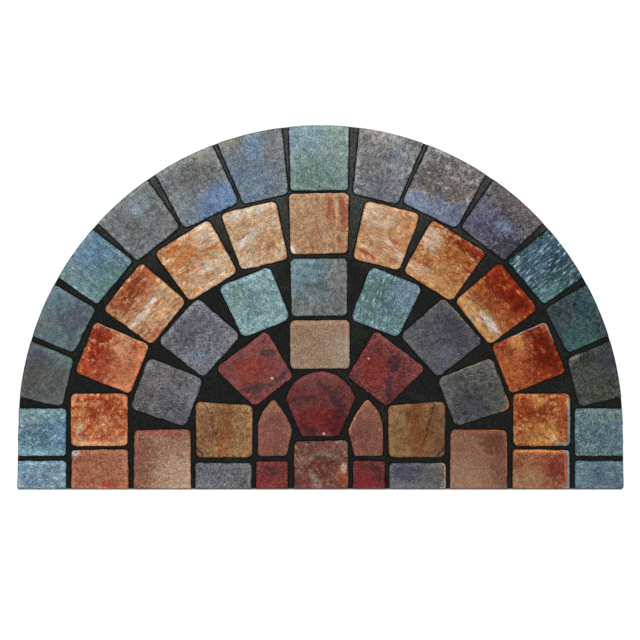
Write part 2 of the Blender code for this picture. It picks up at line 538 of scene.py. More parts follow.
@dataclass(frozen=True)
class Flecks(Layer):
    """Small spots all over the stone."""

    size: float
    cover: float
    strength: float
    lump: float = 1.5  # the noise's lumps, in sizes of a spot
    edge: float = 0.72  # the noise that a spot starts at when the cover is none
    softness: float = 0.12

    def mask(self, graph: Graph, canvas: Canvas) -> Value:
        """Find where the spots lie; the arguments are as any layer's."""
        cover = self.cover / 100
        shifted = graph.framed(canvas.place, (self.size * 31, cover * 170, 0), 0, (1, 1, 1))
        spots = graph.noise(shifted, self.size * self.lump)
        edge = self.edge - COVER_SPAN * cover
        return graph.fade(spots, edge, edge + self.softness) * (self.strength / 100)


@dataclass(frozen=True)
class Crack(Layer):
    """A thin line across part of the stone."""

    across: float  # where it passes the stone's middle
    turn: float
    low: float
    high: float
    strength: float
    width: float = 1.0
    core: float = 0.3  # the part of its width that is full
    fray: float = 12
    fade_out: float = 2  # how softly it ends

    def mask(self, graph: Graph, canvas: Canvas) -> Value:
        """Find where the line lies; the arguments are as any layer's."""
        wide, high = canvas.half
        run = graph.framed(canvas.place, (self.across / 100 * wide, 0, 0), radians(self.turn), (1, 1, 1))
        away = abs(graph.axis(run, "Y") + canvas.warp * self.fray)
        height = graph.axis(canvas.place, "Y")
        low, top = self.low / 100 * high, self.high / 100 * high
        ends = graph.fade(height, low - self.fade_out, low + self.fade_out)
        ends = ends * graph.fade(height, top + self.fade_out, top - self.fade_out)
        return graph.fade(away, self.width, self.width * self.core) * ends * (self.strength / 100)


@dataclass(frozen=True)
class Edging(Layer):
    """A strip of the print that lands on one side of the stone."""

    across: float  # 1 picks the side away from the centre line, -1 the other one
    along: float  # 1 picks the outer end, -1 the inner one
    width: float
    strength: float
    start: float = 72
    spread: float = 20  # how far on from its start it is full
    fray: float = 3
    softness: float = 0.7

    def mask(self, graph: Graph, canvas: Canvas) -> Value:
        """Find where the strip lies; the arguments are as any layer's."""
        wide, high = canvas.half
        side = graph.axis(canvas.place, "X") * (self.across / wide)
        side = side + graph.axis(canvas.place, "Y") * (self.along / high)
        away = canvas.rim + canvas.warp * self.fray
        near = graph.fade(away, self.width + self.softness, self.width - self.softness)
        start = self.start / 100
        return graph.fade(side, start, start + self.spread / 100) * near * (self.strength / 100)


# The grout's black: printed dark joints, and painted shade in the grooves at the stones' feet.
JOINT_BLACK_AND_SHADE = (22, 23, 22)
COOLER = (0.94, 1.0, 1.05, 1.0)
WARMER = (1.05, 0.99, 0.94, 1.0)


@dataclass(frozen=True)
class StonePrint:
    """The printed felt of one stone: a mottled dye and the layers over it."""

    tones: Tones
    layers: tuple[Layer, ...]
    mottle: float = 1.0
    heather: float = 1.0
    fibre_turn: float = 78  # the way that the fibres run, from the stone's width, in degrees
    seed_step: float = 40  # how far apart two stones' noises lie, as the next lengths in millimetres
    fibre: tuple[float, float, float] = (4.6, 1.3, 3)
    grain: float = 1.7  # the size of the noise's lumps, from fine to coarse
    blotch: float = 7
    hue: float = 10
    ragged: float = 13
    cloud: float = 24
    highlight_from: Pair = (1.0, 3.2)  # the painted rim highlight is gone and whole at these distances from the outline
    highlight_to: Pair = (9.5, 4.0)  # and at these, on its inner side
    rim_highlight: float = 0.13  # how much paler the painted highlight makes the print
    highlight_top: float = 0.21  # and how much more at its upper end, the side that faces the light
    sunk: Pair = (5.5, 7.6)  # the heights over which its dye takes over from the grout's black, a printed joint with painted groove shade

    def shaded(self, factor: float, *layers: Layer) -> "StonePrint":
        """Return the same print, darker or paler all over, with more layers over it; the right half's darker
        copies are painted shade.
        """
        under = tuple(layer.shaded(factor) for layer in self.layers)
        return replace(self, tones=self.tones.shaded(factor), layers=under + layers)

    def material(self, name: str, stone: "StonePlan") -> bpy.types.Material:
        """Make the material.

        Args:
            name: Its name.
            stone: The stone that wears it.

        Returns:
            The material.
        """
        graph = Graph(name)
        object_place = graph.place()
        origin = (*stone.middle, -stone.seed * self.seed_step * MM)
        place = graph.framed(object_place, origin, -stone.axis, (stone.side.value * MM, MM, MM))
        fibres = graph.framed(place, (0, 0, 0), radians(self.fibre_turn), self.fibre)
        heather = graph.noise(fibres, 1, roughness=0.7) - 0.5
        grain = graph.noise(place, self.grain, detail=1, roughness=0.6) - 0.5
        cloud = graph.noise(place, self.cloud) - 0.5
        blotch = graph.noise(place, self.blotch, detail=3, roughness=0.65) - 0.5
        warp = graph.noise(place, self.ragged, detail=5, roughness=0.7) + blotch * 0.7 - 0.5
        tone = 0.5 + cloud * (0.5 * self.mottle) + blotch * (1.1 * self.mottle)
        tone = tone + heather * (1.25 * self.heather) + grain * (1.55 * self.heather)
        canvas = Canvas(place, stone.half, graph.attribute("rim") * (1 / MM), tone, warp)
        colour = self.tones.ramp(graph, tone)
        for layer in self.layers:
            colour = layer.paint(graph, canvas, colour)
        hue = graph.fade(graph.noise(place, self.hue, detail=4, roughness=0.65), 0.38, 0.62)
        colour = graph.blend(colour, graph.blend(COOLER, WARMER, hue), 1.0, "MULTIPLY")
        # Painted highlight: a paler band just inside each stone's outline, stronger at its upper end.
        rise = (graph.axis(object_place, "Y") - stone.middle[1]) / (stone.half[1] * MM)
        rim_highlight = graph.fade(canvas.rim, *self.highlight_from) * graph.fade(canvas.rim + warp * 6, *self.highlight_to)
        rim_highlight = 1 + rim_highlight * (self.rim_highlight + graph.fade(rise, 0.3, 0.85) * self.highlight_top)
        colour = graph.scaled(colour, rim_highlight)
        # Low on the stone's side, its print gives way to the grout's black: a printed joint and painted
        # groove shade.
        height = graph.axis(object_place, "Z") + warp * (1.5 * MM)
        foot = graph.fade(height, self.sunk[0] * MM, self.sunk[1] * MM)
        colour = graph.blend(light_of(JOINT_BLACK_AND_SHADE), colour, foot)
        pile = heather * 0.6 + graph.noise(object_place, 0.9 * MM) * 0.5
        return graph.finish({"Base Color": colour, "Roughness": 0.93, "Specular IOR Level": 0.1,
                             "Normal": graph.bump(pile, 0.55, 0.5 * MM)})


@dataclass(frozen=True)
class GroundPrint:
    """The charcoal felt between the stones. It is blacker beside them, with a printed joint and painted
    groove shade, and paler towards the arc, with a painted sheen.
    """

    # The charcoal away from the painted sheen, and the paler colour where the sheen is full.
    dark: Levels = (27, 29, 27)
    sheen_lit: Levels = (72, 73, 69)
    green: Levels = (42, 50, 43)
    strand_turn: float = 86  # in degrees
    strand: tuple[float, float, float] = (4.2 * MM, 1.3 * MM, 2 * MM)
    speck: float = 1.9 * MM  # the size of the noise's lumps
    cloud: float = 40 * MM
    drift: float = 240 * MM  # how far the clouds move the painted sheen's edge
    green_share: float = 0.3
    darkest: float = 0.3  # the least that the heather leaves of a colour
    beside: Pair = (1.1 * MM, 3.1 * MM)  # the distances from a stone over which the printed black joint and the painted groove shade end

    def material(self, name: str, low: float, high: float) -> bpy.types.Material:
        """Make the material.

        Args:
            name: Its name.
            low: Where the felt is darkest, on Y, before the painted sheen.
            high: Where the painted sheen makes it palest.

        Returns:
            The material.
        """
        graph = Graph(name)
        place = graph.place()
        strands = graph.framed(place, (0, 0, 0), radians(self.strand_turn), self.strand)
        heather = graph.noise(strands, 1, roughness=0.7) - 0.5
        speck = graph.noise(place, self.speck, detail=1) - 0.5
        cloud = graph.noise(place, self.cloud)
        # Painted sheen: the felt grows paler towards the arc, and noise clouds its edge.
        rise = graph.fade(graph.axis(place, "Y") + (cloud - 0.5) * self.drift, low, high)
        colour = graph.blend(light_of(self.dark), light_of(self.sheen_lit), rise)
        colour = graph.blend(colour, light_of(self.green), graph.fade(cloud, 0.5, 0.7) * self.green_share)
        level = 1 + heather * 3 + speck * 3
        level = graph.add("ShaderNodeMath", {"operation": "MAXIMUM"}, {0: level, 1: self.darkest})
        colour = graph.scaled(colour, level)
        # Blacker beside each stone: a printed dark joint and painted shade in the groove.
        beside = graph.fade(graph.attribute("joint") + heather * (2 * MM), *self.beside)
        colour = graph.blend(light_of(JOINT_BLACK_AND_SHADE), colour, beside)
        pile = heather * 0.7 + graph.noise(place, 0.8 * MM) * 0.5
        return graph.finish({"Base Color": colour, "Roughness": 0.95, "Specular IOR Level": 0.12,
                             "Normal": graph.bump(pile, 0.6, 0.5 * MM)})


@dataclass(frozen=True)
class RubberFinish:
    """Grey moulded rubber with a fine crumb."""

    body: Levels = (148, 148, 150)
    dust: Levels = (172, 172, 172)
    crumb: float = 1.8 * MM  # the size of the noise's lumps
    cloud: float = 60 * MM

    def material(self, name: str) -> bpy.types.Material:
        """Make the material.

        Args:
            name: Its name.

        Returns:
            The material.
        """
        graph = Graph(name)
        place = graph.place()
        crumb = graph.noise(place, self.crumb, detail=4, roughness=0.65)
        cloud = graph.noise(place, self.cloud, detail=3)
        dusty = graph.fade(crumb * 0.6 + cloud * 0.4, 0.42, 0.66)
        colour = graph.blend(light_of(self.body), light_of(self.dust), dusty)
        return graph.finish({"Base Color": colour, "Roughness": 0.62 + crumb * 0.2,
                             "Normal": graph.bump(crumb, 0.35, 0.4 * MM)})


@dataclass(frozen=True)
class FloorFinish:
    """A pale studio floor with a glow of its own, which keeps it white."""

    body: Levels = (110, 110, 110)
    glow: float = 0.88

    def material(self, name: str) -> bpy.types.Material:
        """Make the material.

        Args:
            name: Its name.

        Returns:
            The material.
        """
        graph = Graph(name)
        grain = graph.noise(graph.place(), 0.4, detail=3)
        colour = graph.blend(light_of(self.body), light_of(darker_or_paler(self.body, 1.1)), grain)
        return graph.finish({"Base Color": colour, "Roughness": 0.8, "Specular IOR Level": 0,
                             "Emission Color": (1, 1, 1, 1), "Emission Strength": self.glow})


# The prints

# The right half's prints are darker than their left twins: partly their own dye, and partly painted shade
# where the light falls off towards the right.
CREAM = (214, 196, 170)
TEAL = StonePrint(Tones((97, 118, 113), (121, 143, 140), (147, 168, 169)), (
    Patch((130, 154, 166), -50, 60, 80, 60, 80), Patch((136, 156, 147), 70, 60, 50, 80),
    Patch((102, 125, 117), -40, -70, 100, 50, 80), Streaks((158, 176, 166), 92, 36, 50, 26)))
SLATE_BLUE = StonePrint(Tones((84, 92, 98), (111, 120, 126), (139, 148, 153)), (
    Patch((114, 138, 164), 5, 40, 40, 40, 75), Patch((124, 121, 112), 75, 85, 60, 40, 85),
    Patch((124, 122, 124), -75, 40, 40, 60, 65), Patch((102, 122, 140), 50, -60, 80, 60),
    Flecks((108, 104, 126), 4, 38, 45), Flecks((142, 152, 160), 3, 30, 50)), 1.2, 1.15)
SLATE_PALE = StonePrint(Tones((93, 93, 94), (118, 119, 120), (152, 156, 156)), (
    Patch((150, 152, 149), 10, 65, 35, 30), Patch((104, 102, 102), -30, 0, 25, 40, 55),
    Patch((114, 126, 146), 45, 20, 24, 30, 50), Patch((142, 139, 134), -70, 60, 40, 50),
    Patch((100, 101, 112), 40, -65, 80, 40), Streaks((156, 160, 158), 70, 34, 50, 12, 3.4),
    Flecks((124, 84, 92), 4, 22, 60), Flecks((92, 88, 86), 4.4, 34, 50)), mottle=1.15)
SLATE_SKY = StonePrint(Tones((93, 95, 96), (116, 119, 120), (138, 146, 150)), (
    Patch((100, 97, 92), -10, 10, 70, 25, 60), Patch((140, 137, 128), -50, 75, 60, 30, 75),
    Patch((140, 142, 140), 50, 80, 40, 30, 50), Patch((104, 130, 162), -60, -75, 110, 42, 90),
    Patch((124, 132, 132), 70, -40, 50, 40, 60), Flecks((94, 88, 84), 4.2, 36, 55),
    Flecks((146, 150, 150), 3.6, 32, 50)), 1.3, 1.1)
SLATE_HEATHER = StonePrint(Tones((88, 84, 83), (112, 109, 107), (141, 141, 140)), (
    Patch((90, 86, 79), -20, -15, 70, 30, 60), Flecks((168, 166, 164), 6.5, 38, 70),
    Flecks((122, 66, 72), 5, 40, 75), Patch((126, 134, 156), -20, -95, 130, 40, 90),
    Patch((98, 106, 134), 75, -85, 60, 40), Flecks((92, 86, 84), 3.4, 30, 50)), mottle=1.2, heather=1.1)
SLATE = StonePrint(Tones((91, 93, 93), (112, 117, 118), (137, 146, 150)), (
    Patch((144, 154, 164), 0, 25, 28, 25), Patch((130, 144, 154), -40, 25, 25, 25, 60),
    Patch((96, 93, 91), 25, 5, 26, 50, 55), Patch((104, 100, 98), -70, -70, 50, 40, 60),
    Flecks((96, 88, 84), 5, 36, 50), Flecks((146, 152, 154), 4, 30, 45)), mottle=1.15)
SLATE_VIOLET = StonePrint(Tones((58, 57, 62), (88, 87, 91), (116, 116, 122)), (
    Patch((98, 90, 86), -10, 80, 130, 50), Patch((92, 92, 118), -20, -45, 100, 45, 75),
    Patch((116, 126, 160), 25, -30, 26, 20), Patch((56, 55, 62), 80, -75, 60, 55, 90),
    Patch((84, 82, 96), -70, -80, 40, 30, 60), Flecks((104, 70, 78), 5, 34, 60),
    Flecks((134, 136, 144), 4, 32, 50)), mottle=1.6, heather=1.35)
LAKE = StonePrint(Tones((66, 91, 100), (94, 119, 129), (127, 153, 163)), (
    Patch((98, 128, 158), -30, 20, 50, 60, 60), Patch((116, 128, 146), 40, 55, 40, 30, 65),
    Patch((96, 130, 122), 20, -85, 80, 30, 75), Patch((116, 146, 140), 95, 0, 30, 100, 60),
    Streaks((146, 178, 182), 93, 40, 65, 20), Streaks((72, 94, 110), 90, 40, 55, 18, 3.2)), mottle=1.1)
LAKE_DEEP = StonePrint(Tones((32, 49, 55), (52, 76, 84), (82, 110, 118)), (
    Patch((66, 94, 122), -35, 10, 35, 70, 60), Patch((42, 60, 72), 30, 35, 50, 50, 85),
    Patch((52, 82, 76), 70, 0, 35, 50), Patch((86, 122, 118), 85, -80, 50, 50, 80),
    Streaks((40, 56, 66), 88, 42, 65, 14, 3.2), Streaks((144, 172, 184), 94, 40, 80, 18, 2.4)), mottle=1.25)
DEEP_TEAL = StonePrint(Tones((75, 84, 89), (90, 102, 106), (106, 124, 128)), (
    Patch((94, 117, 126), -60, 50, 60, 50), Patch((88, 110, 112), 75, -30, 40, 60, 60),
    Patch((82, 84, 94), -15, -50, 50, 35, 65), Patch((106, 98, 98), 40, 30, 25, 20, 40),
    Edging((112, 130, 128), -1, 0, 2.0, 50)), mottle=1.1)
TEAL_NIGHT = StonePrint(Tones((40, 50, 53), (56, 70, 72), (74, 92, 94)), (
    Patch((48, 74, 84), -30, 30, 50, 40), Patch((56, 86, 84), 60, -50, 60, 60),
    Patch((58, 62, 72), -50, -70, 60, 40, 50), Flecks((82, 104, 104), 3.4, 30, 45),
    Patch((12, 14, 18), -60, -5, 5, 5, 100)), mottle=1.5, heather=1.2)
DARK_SLATE = StonePrint(Tones((70, 72, 72), (85, 88, 88), (102, 109, 107)), (
    Patch((78, 83, 97), -50, 50, 50, 60, 75), Patch((86, 80, 74), 15, 40, 40, 60),
    Patch((94, 112, 107), -90, -60, 40, 50, 80),
    Edging((108, 116, 110), 0, -1, 2.0, 50)), mottle=1.1, fibre_turn=30)
SLATE_NIGHT = StonePrint(Tones((36, 39, 40), (52, 56, 56), (76, 81, 76)), (
    Patch((54, 56, 68), -40, 55, 50, 50, 80), Patch((70, 73, 64), 40, -40, 70, 60),
    Patch((104, 108, 90), -95, -70, 16, 20, 80),
    Streaks((90, 92, 80), 6, 38, 60, 20, 2.4)), mottle=1.3, heather=1.25, fibre_turn=8)
SKY = StonePrint(Tones((60, 94, 111), (89, 122, 137), (120, 153, 164)), (
    Patch((112, 140, 138), 10, 85, 120, 40), Patch((96, 122, 150), -60, 0, 60, 60, 50),
    Patch((122, 124, 134), 30, 40, 40, 30, 40), Patch((140, 178, 188), 0, -85, 100, 16, 50),
    Flecks((168, 200, 200), 4, 32, 60),
    Flecks((60, 98, 132), 5, 36, 60)), mottle=1.5, heather=1.1, fibre_turn=30)
SKY_GREEN = StonePrint(Tones((66, 87, 90), (88, 111, 115), (112, 138, 141)), (
    Patch((98, 116, 110), 40, 80, 90, 30, 60), Patch((82, 102, 116), 30, -20, 50, 60, 60),
    Flecks((144, 172, 166), 4, 28, 60),
    Flecks((58, 82, 88), 5, 38, 60)), mottle=1.4, heather=1.2, fibre_turn=60)
SKY_VIOLET = StonePrint(Tones((88, 113, 133), (113, 139, 155), (143, 171, 179)), (
    Patch((104, 130, 148), 60, 60, 60, 40, 60), Patch((166, 194, 194), 70, -45, 22, 30, 80),
    Patch((104, 122, 154), 0, -20, 50, 50, 60), Streaks((172, 200, 198), 4, 36, 60, 14, 3.6),
    Flecks((96, 112, 146), 5, 35, 50)), fibre_turn=5)
TAN_STREAKED = StonePrint(Tones((148, 98, 68), (166, 126, 93), (188, 156, 124)), (
    Patch((174, 142, 110), -50, 50, 60, 70, 50), Patch((154, 78, 58), 36, 50, 12, 45, 65, 4),
    Patch((150, 68, 52), 80, 40, 14, 50, 70, 4), Patch((204, 166, 128), 60, 50, 6, 50, 70, 2),
    Patch((158, 92, 68), 0, -20, 8, 50, 60, 14), Patch((182, 154, 140), 12, -35, 5, 40, 45, 20),
    Patch((146, 74, 52), 68, -55, 8, 10), Patch((206, 196, 188), -100, -95, 20, 25, 90),
    Edging((216, 186, 152), 0, 1, 1.8, 70)), 1.1, 0.75, 86)
TAN_VEINED = StonePrint(Tones((158, 120, 86), (186, 154, 120), (207, 184, 156)), (
    Patch((212, 198, 178), 0, 85, 80, 18), Patch((178, 128, 84), -50, -20, 50, 30, 50, -8),
    Patch((210, 194, 180), 35, 0, 50, 14, 85, -28), Patch((156, 90, 52), 50, 10, 30, 4, 70, -22),
    Patch((160, 96, 58), -10, -50, 40, 5, 60, -6), Patch((206, 186, 164), 50, -75, 50, 20, 50),
    Streaks((184, 126, 76), -10, 42, 60, 20, 6), Streaks((172, 96, 52), -12, 24, 70, 18, 2.6),
    Streaks(CREAM, -14, 34, 45, 20, 7)), 1.2, 0.7, -10)
TAN_RUSTY = StonePrint(Tones((160, 108, 68), (183, 140, 100), (202, 172, 140)), (
    Patch((210, 188, 162), -50, 60, 60, 35), Patch((188, 130, 82), 85, 50, 35, 60, 60),
    Patch((206, 180, 164), 50, -35, 50, 13, 85, -30), Patch((152, 68, 34), 45, -12, 35, 4.5, 85, -25),
    Patch((148, 62, 32), -50, -72, 50, 5.5, 85, -16), Patch((152, 70, 38), 55, -75, 12, 8),
    Streaks((186, 116, 58), -18, 46, 70, 20, 6), Streaks((168, 84, 40), -20, 26, 75, 18, 2.8),
    Streaks(CREAM, -22, 30, 50, 18, 6)), 1.2, 0.65, -14)
AMBER = StonePrint(Tones((168, 120, 80), (189, 150, 114), (205, 180, 152)), (
    Patch((180, 122, 72), 60, 60, 70, 50, 80), Patch((210, 194, 174), -80, 65, 35, 30, 80),
    Patch((208, 190, 170), -40, -35, 60, 18, 80), Patch((206, 182, 156), -30, -90, 80, 14, 60),
    Patch((166, 84, 44), -60, 15, 40, 5, 75, 6), Patch((168, 88, 46), 30, -12, 40, 4.5, 65, 8),
    Patch((170, 86, 48), 50, 80, 35, 5, 70, -6), Streaks((188, 120, 60), 8, 50, 70, 20, 6),
    Streaks((176, 90, 40), 6, 28, 75, 16, 2.8), Streaks(CREAM, 6, 36, 60, 16, 6)), 1.3, 0.7, 10)
AMBER_DEEP = StonePrint(Tones((142, 72, 30), (172, 116, 68), (190, 154, 116)), (
    Patch((150, 78, 36), 60, 35, 70, 30), Patch((118, 36, 18), 55, 82, 75, 16, 95, -4),
    Patch((122, 44, 22), 85, 20, 30, 8, 80, -20), Patch((204, 180, 158), -75, 42, 35, 28, 85),
    Patch((202, 176, 152), -50, -65, 50, 16, 80), Patch((184, 136, 84), 30, -70, 70, 35, 65),
    Streaks((190, 128, 62), 6, 44, 60, 18, 6), Streaks((136, 48, 18), 6, 36, 85, 18, 3.2),
    Streaks((206, 176, 140), 4, 30, 60, 16, 5)), 1.3, 0.7, 8)
RUST_BANDED = StonePrint(Tones((150, 92, 56), (177, 132, 94), (192, 160, 128)), (
    Patch((144, 74, 44), -30, 70, 130, 55, 85), Patch((122, 48, 28), -15, 60, 50, 30, 70, 8),
    Patch((190, 154, 116), -40, -50, 90, 60, 75), Patch((216, 208, 208), 15, -14, 50, 9, 95, 2),
    Patch((206, 186, 166), 70, -15, 40, 6, 70, 14), Patch((174, 110, 82), 85, -85, 50, 30, 80),
    Streaks((164, 84, 44), 14, 40, 75, 26, 4.5), Streaks((208, 172, 122), 10, 40, 65, 20, 6)), 1.4, 0.7, 10)
RUST_BANDED_DEEP = StonePrint(Tones((112, 38, 16), (140, 74, 40), (172, 124, 86)), (
    Patch((124, 35, 12), -10, 65, 180, 65, 90), Patch((112, 28, 10), 10, 60, 50, 30),
    Patch((150, 76, 36), 20, -2, 130, 22, 60, 5), Patch((182, 138, 86), -10, -75, 150, 35, 85),
    Patch((212, 200, 192), 40, -55, 45, 11, 95, 2), Patch((206, 176, 136), -20, -80, 40, 12, 60),
    Streaks((112, 34, 12), 12, 40, 70, 24, 4), Streaks((180, 118, 58), 8, 34, 60, 20, 5)), 1.4, 0.75, 10)
RUST_FIERY = StonePrint(Tones((138, 60, 36), (166, 90, 58), (190, 130, 94)), (
    Patch((152, 64, 38), 50, 60, 90, 60, 80), Patch((126, 41, 24), -40, 65, 70, 40, 90),
    Patch((186, 138, 106), -60, -12, 40, 25, 80), Patch((194, 122, 86), 50, -70, 90, 45, 75),
    Flecks((164, 52, 28), 6, 42, 75), Flecks((206, 152, 108), 5, 34, 65),
    Edging((208, 176, 144), -1, 0, 1.6, 60)), 1.3, 0.8)
RUST_FIERY_DEEP = StonePrint(Tones((98, 30, 12), (130, 53, 26), (160, 92, 56)), (
    Patch((122, 44, 22), 70, 60, 70, 60, 80), Patch((98, 26, 12), -5, 62, 75, 38, 95),
    Patch((180, 120, 76), -70, -15, 42, 26, 85), Patch((164, 92, 52), 45, -70, 90, 50, 75),
    Flecks((122, 36, 12), 6, 42, 75), Flecks((178, 104, 54), 5, 34, 60),
    Edging((160, 162, 158), -1, 0.6, 1.6, 80)), 1.3, 0.8)
RUST_BLOTTED = StonePrint(Tones((148, 64, 34), (175, 98, 60), (197, 142, 102)), (
    Patch((154, 60, 36), -40, 50, 30, 30, 75), Patch((144, 48, 28), 20, 30, 30, 20, 75),
    Patch((150, 54, 32), 15, 85, 25, 14, 80), Patch((206, 172, 140), 72, -45, 12, 25, 85),
    Patch((204, 152, 112), 0, -92, 100, 10), Patch((194, 130, 88), 90, 50, 20, 60, 60),
    Flecks((158, 60, 30), 7, 46, 80), Flecks((212, 168, 126), 5.5, 36, 70)), 1.4, 0.75)
RUST_GOLDEN = StonePrint(Tones((126, 52, 26), (154, 88, 50), (182, 132, 84)), (
    Patch((128, 46, 22), -40, 40, 70, 55, 75), Patch((184, 130, 72), 5, -60, 60, 45, 65),
    Patch((188, 134, 78), -10, 70, 25, 20), Patch((208, 176, 146), 40, -70, 12, 12, 85),
    Patch((132, 56, 26), 85, 20, 30, 100, 75), Flecks((120, 42, 16), 7, 44, 80),
    Flecks((198, 142, 82), 5, 34, 65), Edging((100, 128, 132), 1, -0.25, 4.0, 95, 66)), 1.4, 0.8)
RUSSET = StonePrint(Tones((136, 76, 56), (155, 98, 74), (176, 124, 96)), (
    Patch((158, 62, 44), -40, -70, 35, 22, 80), Patch((164, 108, 84), -70, 20, 50, 90, 60),
    Patch((148, 88, 66), 60, 0, 50, 80, 50), Patch((172, 162, 168), 88, 88, 17, 17, 90, -30),
    Streaks((118, 64, 52), -26, 30, 65, 34, 1.7), Streaks((186, 136, 108), 28, 26, 50, 30, 1.8),
    Edging((196, 118, 74), -0.4, -1, 3.0, 75), Edging((184, 112, 82), -0.3, 1, 2.2, 60)))
RUSSET_DEEP = StonePrint(Tones((114, 54, 36), (135, 81, 57), (157, 110, 80)), (
    Patch((152, 114, 86), -50, -50, 60, 50, 80), Patch((114, 42, 34), 50, 15, 35, 60, 80),
    Patch((166, 96, 60), 0, 60, 20, 40, 40), Streaks((112, 62, 50), -40, 26, 50, 30, 1.8),
    Edging((200, 126, 64), 0, 1, 4.0, 85), Edging((186, 106, 62), 1, 0, 7.0, 80),
    Edging((120, 58, 42), 1, 0, 5.2, 80), Edging((112, 140, 156), 1, 0, 3.4, 95)))
ROSE_BROWN = StonePrint(Tones((126, 82, 66), (146, 105, 86), (170, 136, 116)), (
    Patch((126, 80, 64), 90, 10, 50, 120, 80), Patch((134, 74, 60), 0, 98, 110, 20, 80),
    Patch((176, 147, 126), -60, -65, 70, 70, 85), Flecks((112, 70, 60), 2.6, 26, 50),
    Flecks((186, 162, 146), 2.4, 26, 40)), mottle=0.6, fibre_turn=70)
# Painted shade: the rose print darkened for the right half, with patches and an edging of its own.
ROSE_SHADED = ROSE_BROWN.shaded(
    0.865, Patch((134, 92, 66), -30, -30, 100, 100, 50), Patch((98, 58, 44), 55, 55, 40, 35, 75),
    Patch((148, 82, 56), 0, 100, 60, 8, 60), Edging((186, 112, 70), 1, 0.5, 1.8, 80))
TEAL_SLATE = StonePrint(Tones((80, 88, 88), (106, 117, 117), (128, 143, 146)), (
    Patch((114, 138, 148), -50, 50, 60, 60, 80), Patch((88, 96, 94), 0, -5, 50, 25, 60),
    Patch((112, 108, 106), 70, 10, 40, 80), Patch((108, 110, 106), -50, -80, 80, 30, 60),
    Crack((150, 158, 158), 10, 62, 30, 95, 60), Edging((140, 150, 148), -1, 0.8, 1.8, 50)), 1.2, 0.9, 88)
TEAL_PALE = StonePrint(Tones((93, 122, 126), (120, 148, 151), (150, 176, 178)), (
    Patch((152, 182, 188), -20, 70, 20, 30, 80), Patch((118, 140, 124), 50, 60, 20, 30, 60),
    Patch((98, 128, 138), 0, 10, 25, 50, 60), Flecks((172, 198, 198), 3.4, 34, 55),
    Flecks((92, 124, 130), 4, 34, 50)), fibre_turn=66)
TEAL_STREAKED = StonePrint(Tones((64, 90, 95), (94, 120, 124), (126, 153, 156)), (
    Patch((84, 112, 104), -60, 0, 50, 60), Patch((62, 92, 88), -30, 10, 20, 30),
    Patch((110, 128, 150), 60, 50, 40, 50), Patch((80, 108, 120), 20, -10, 30, 30, 60),
    Streaks((162, 186, 196), 98, 36, 75, 16, 2.6), Flecks((66, 98, 98), 4, 34, 50)), fibre_turn=96)
PURPLE_GREY = StonePrint(Tones((84, 83, 92), (104, 104, 111), (128, 130, 137)), (
    Patch((94, 90, 101), 10, 50, 80, 35, 75), Patch((110, 124, 146), 55, -45, 25, 22, 50),
    Patch((114, 116, 122), -20, -90, 120, 25, 60), Flecks((108, 122, 146), 4, 22, 50)), 1.1, 1.5)
# Painted shade: the purple-grey print darkened for the right half.
PURPLE_GREY_SHADED = PURPLE_GREY.shaded(
    0.75, Patch((92, 94, 92), 0, -95, 120, 20, 50), Edging((138, 128, 110), -0.6, 1, 1.8, 80, 70))
PURPLE_MOSSY = StonePrint(Tones((68, 66, 71), (89, 87, 91), (116, 115, 115)), (
    Patch((112, 106, 108), -50, 60, 50, 40), Patch((84, 82, 86), 35, 20, 30, 70, 60),
    Patch((116, 118, 126), -30, -80, 60, 30, 60), Patch((78, 76, 84), 70, -70, 50, 40, 60),
    Flecks((114, 96, 96), 5, 26, 50), Flecks((122, 126, 120), 4, 28, 45)), 1.2, 1.25)
PURPLE_MOSSY_DEEP = StonePrint(Tones((56, 56, 56), (74, 73, 74), (104, 103, 98)), (
    Patch((80, 84, 74), 60, 60, 50, 50, 60), Patch((92, 92, 94), -50, -80, 60, 30, 60),
    Patch((64, 63, 70), 40, -30, 60, 60, 65), Flecks((98, 104, 88), 4, 30, 50),
    Edging((132, 126, 104), -1, 0, 2.2, 70), Edging((190, 104, 60), 0.7, 1, 2.4, 90, 125)), 1.2, 1.3)
SAND = StonePrint(Tones((126, 98, 78), (148, 121, 100), (168, 145, 124)), (
    Patch((160, 142, 124), 75, -20, 35, 70), Patch((148, 110, 94), 90, 85, 30, 30),
    Patch((144, 112, 90), -50, 60, 60, 40, 50), Flecks((122, 90, 72), 2.6, 24, 50)), mottle=0.6)
BRICK_VEINED = StonePrint(Tones((92, 50, 49), (115, 64, 61), (135, 82, 77)), (
    Patch((134, 56, 48), 10, 10, 60, 50), Patch((70, 54, 58), -65, 30, 35, 12, 80, 28),
    Patch((74, 56, 60), 40, -50, 45, 13, 80, 30), Patch((66, 52, 56), -50, -72, 60, 7, 75, -6),
    Patch((196, 176, 170), -25, -56, 4.5, 5, 100), Flecks((154, 72, 56), 2.8, 28, 50)), fibre_turn=4)
BRICK_DEEP = StonePrint(Tones((80, 40, 40), (107, 54, 52), (132, 74, 70)), (
    Patch((120, 44, 40), -30, -10, 60, 60), Patch((84, 42, 40), 85, -50, 30, 50),
    Patch((64, 44, 48), 10, 45, 30, 20, 80, -50), Patch((66, 44, 48), 50, -35, 50, 14, 85, -52),
    Patch((82, 50, 52), -70, 35, 40, 10, 60, 10), Patch((190, 140, 90), -70, 0, 4, 4, 90),
    Edging((150, 96, 78), 0, 1, 1.8, 60), Flecks((142, 60, 50), 2.8, 26, 50)), fibre_turn=4)
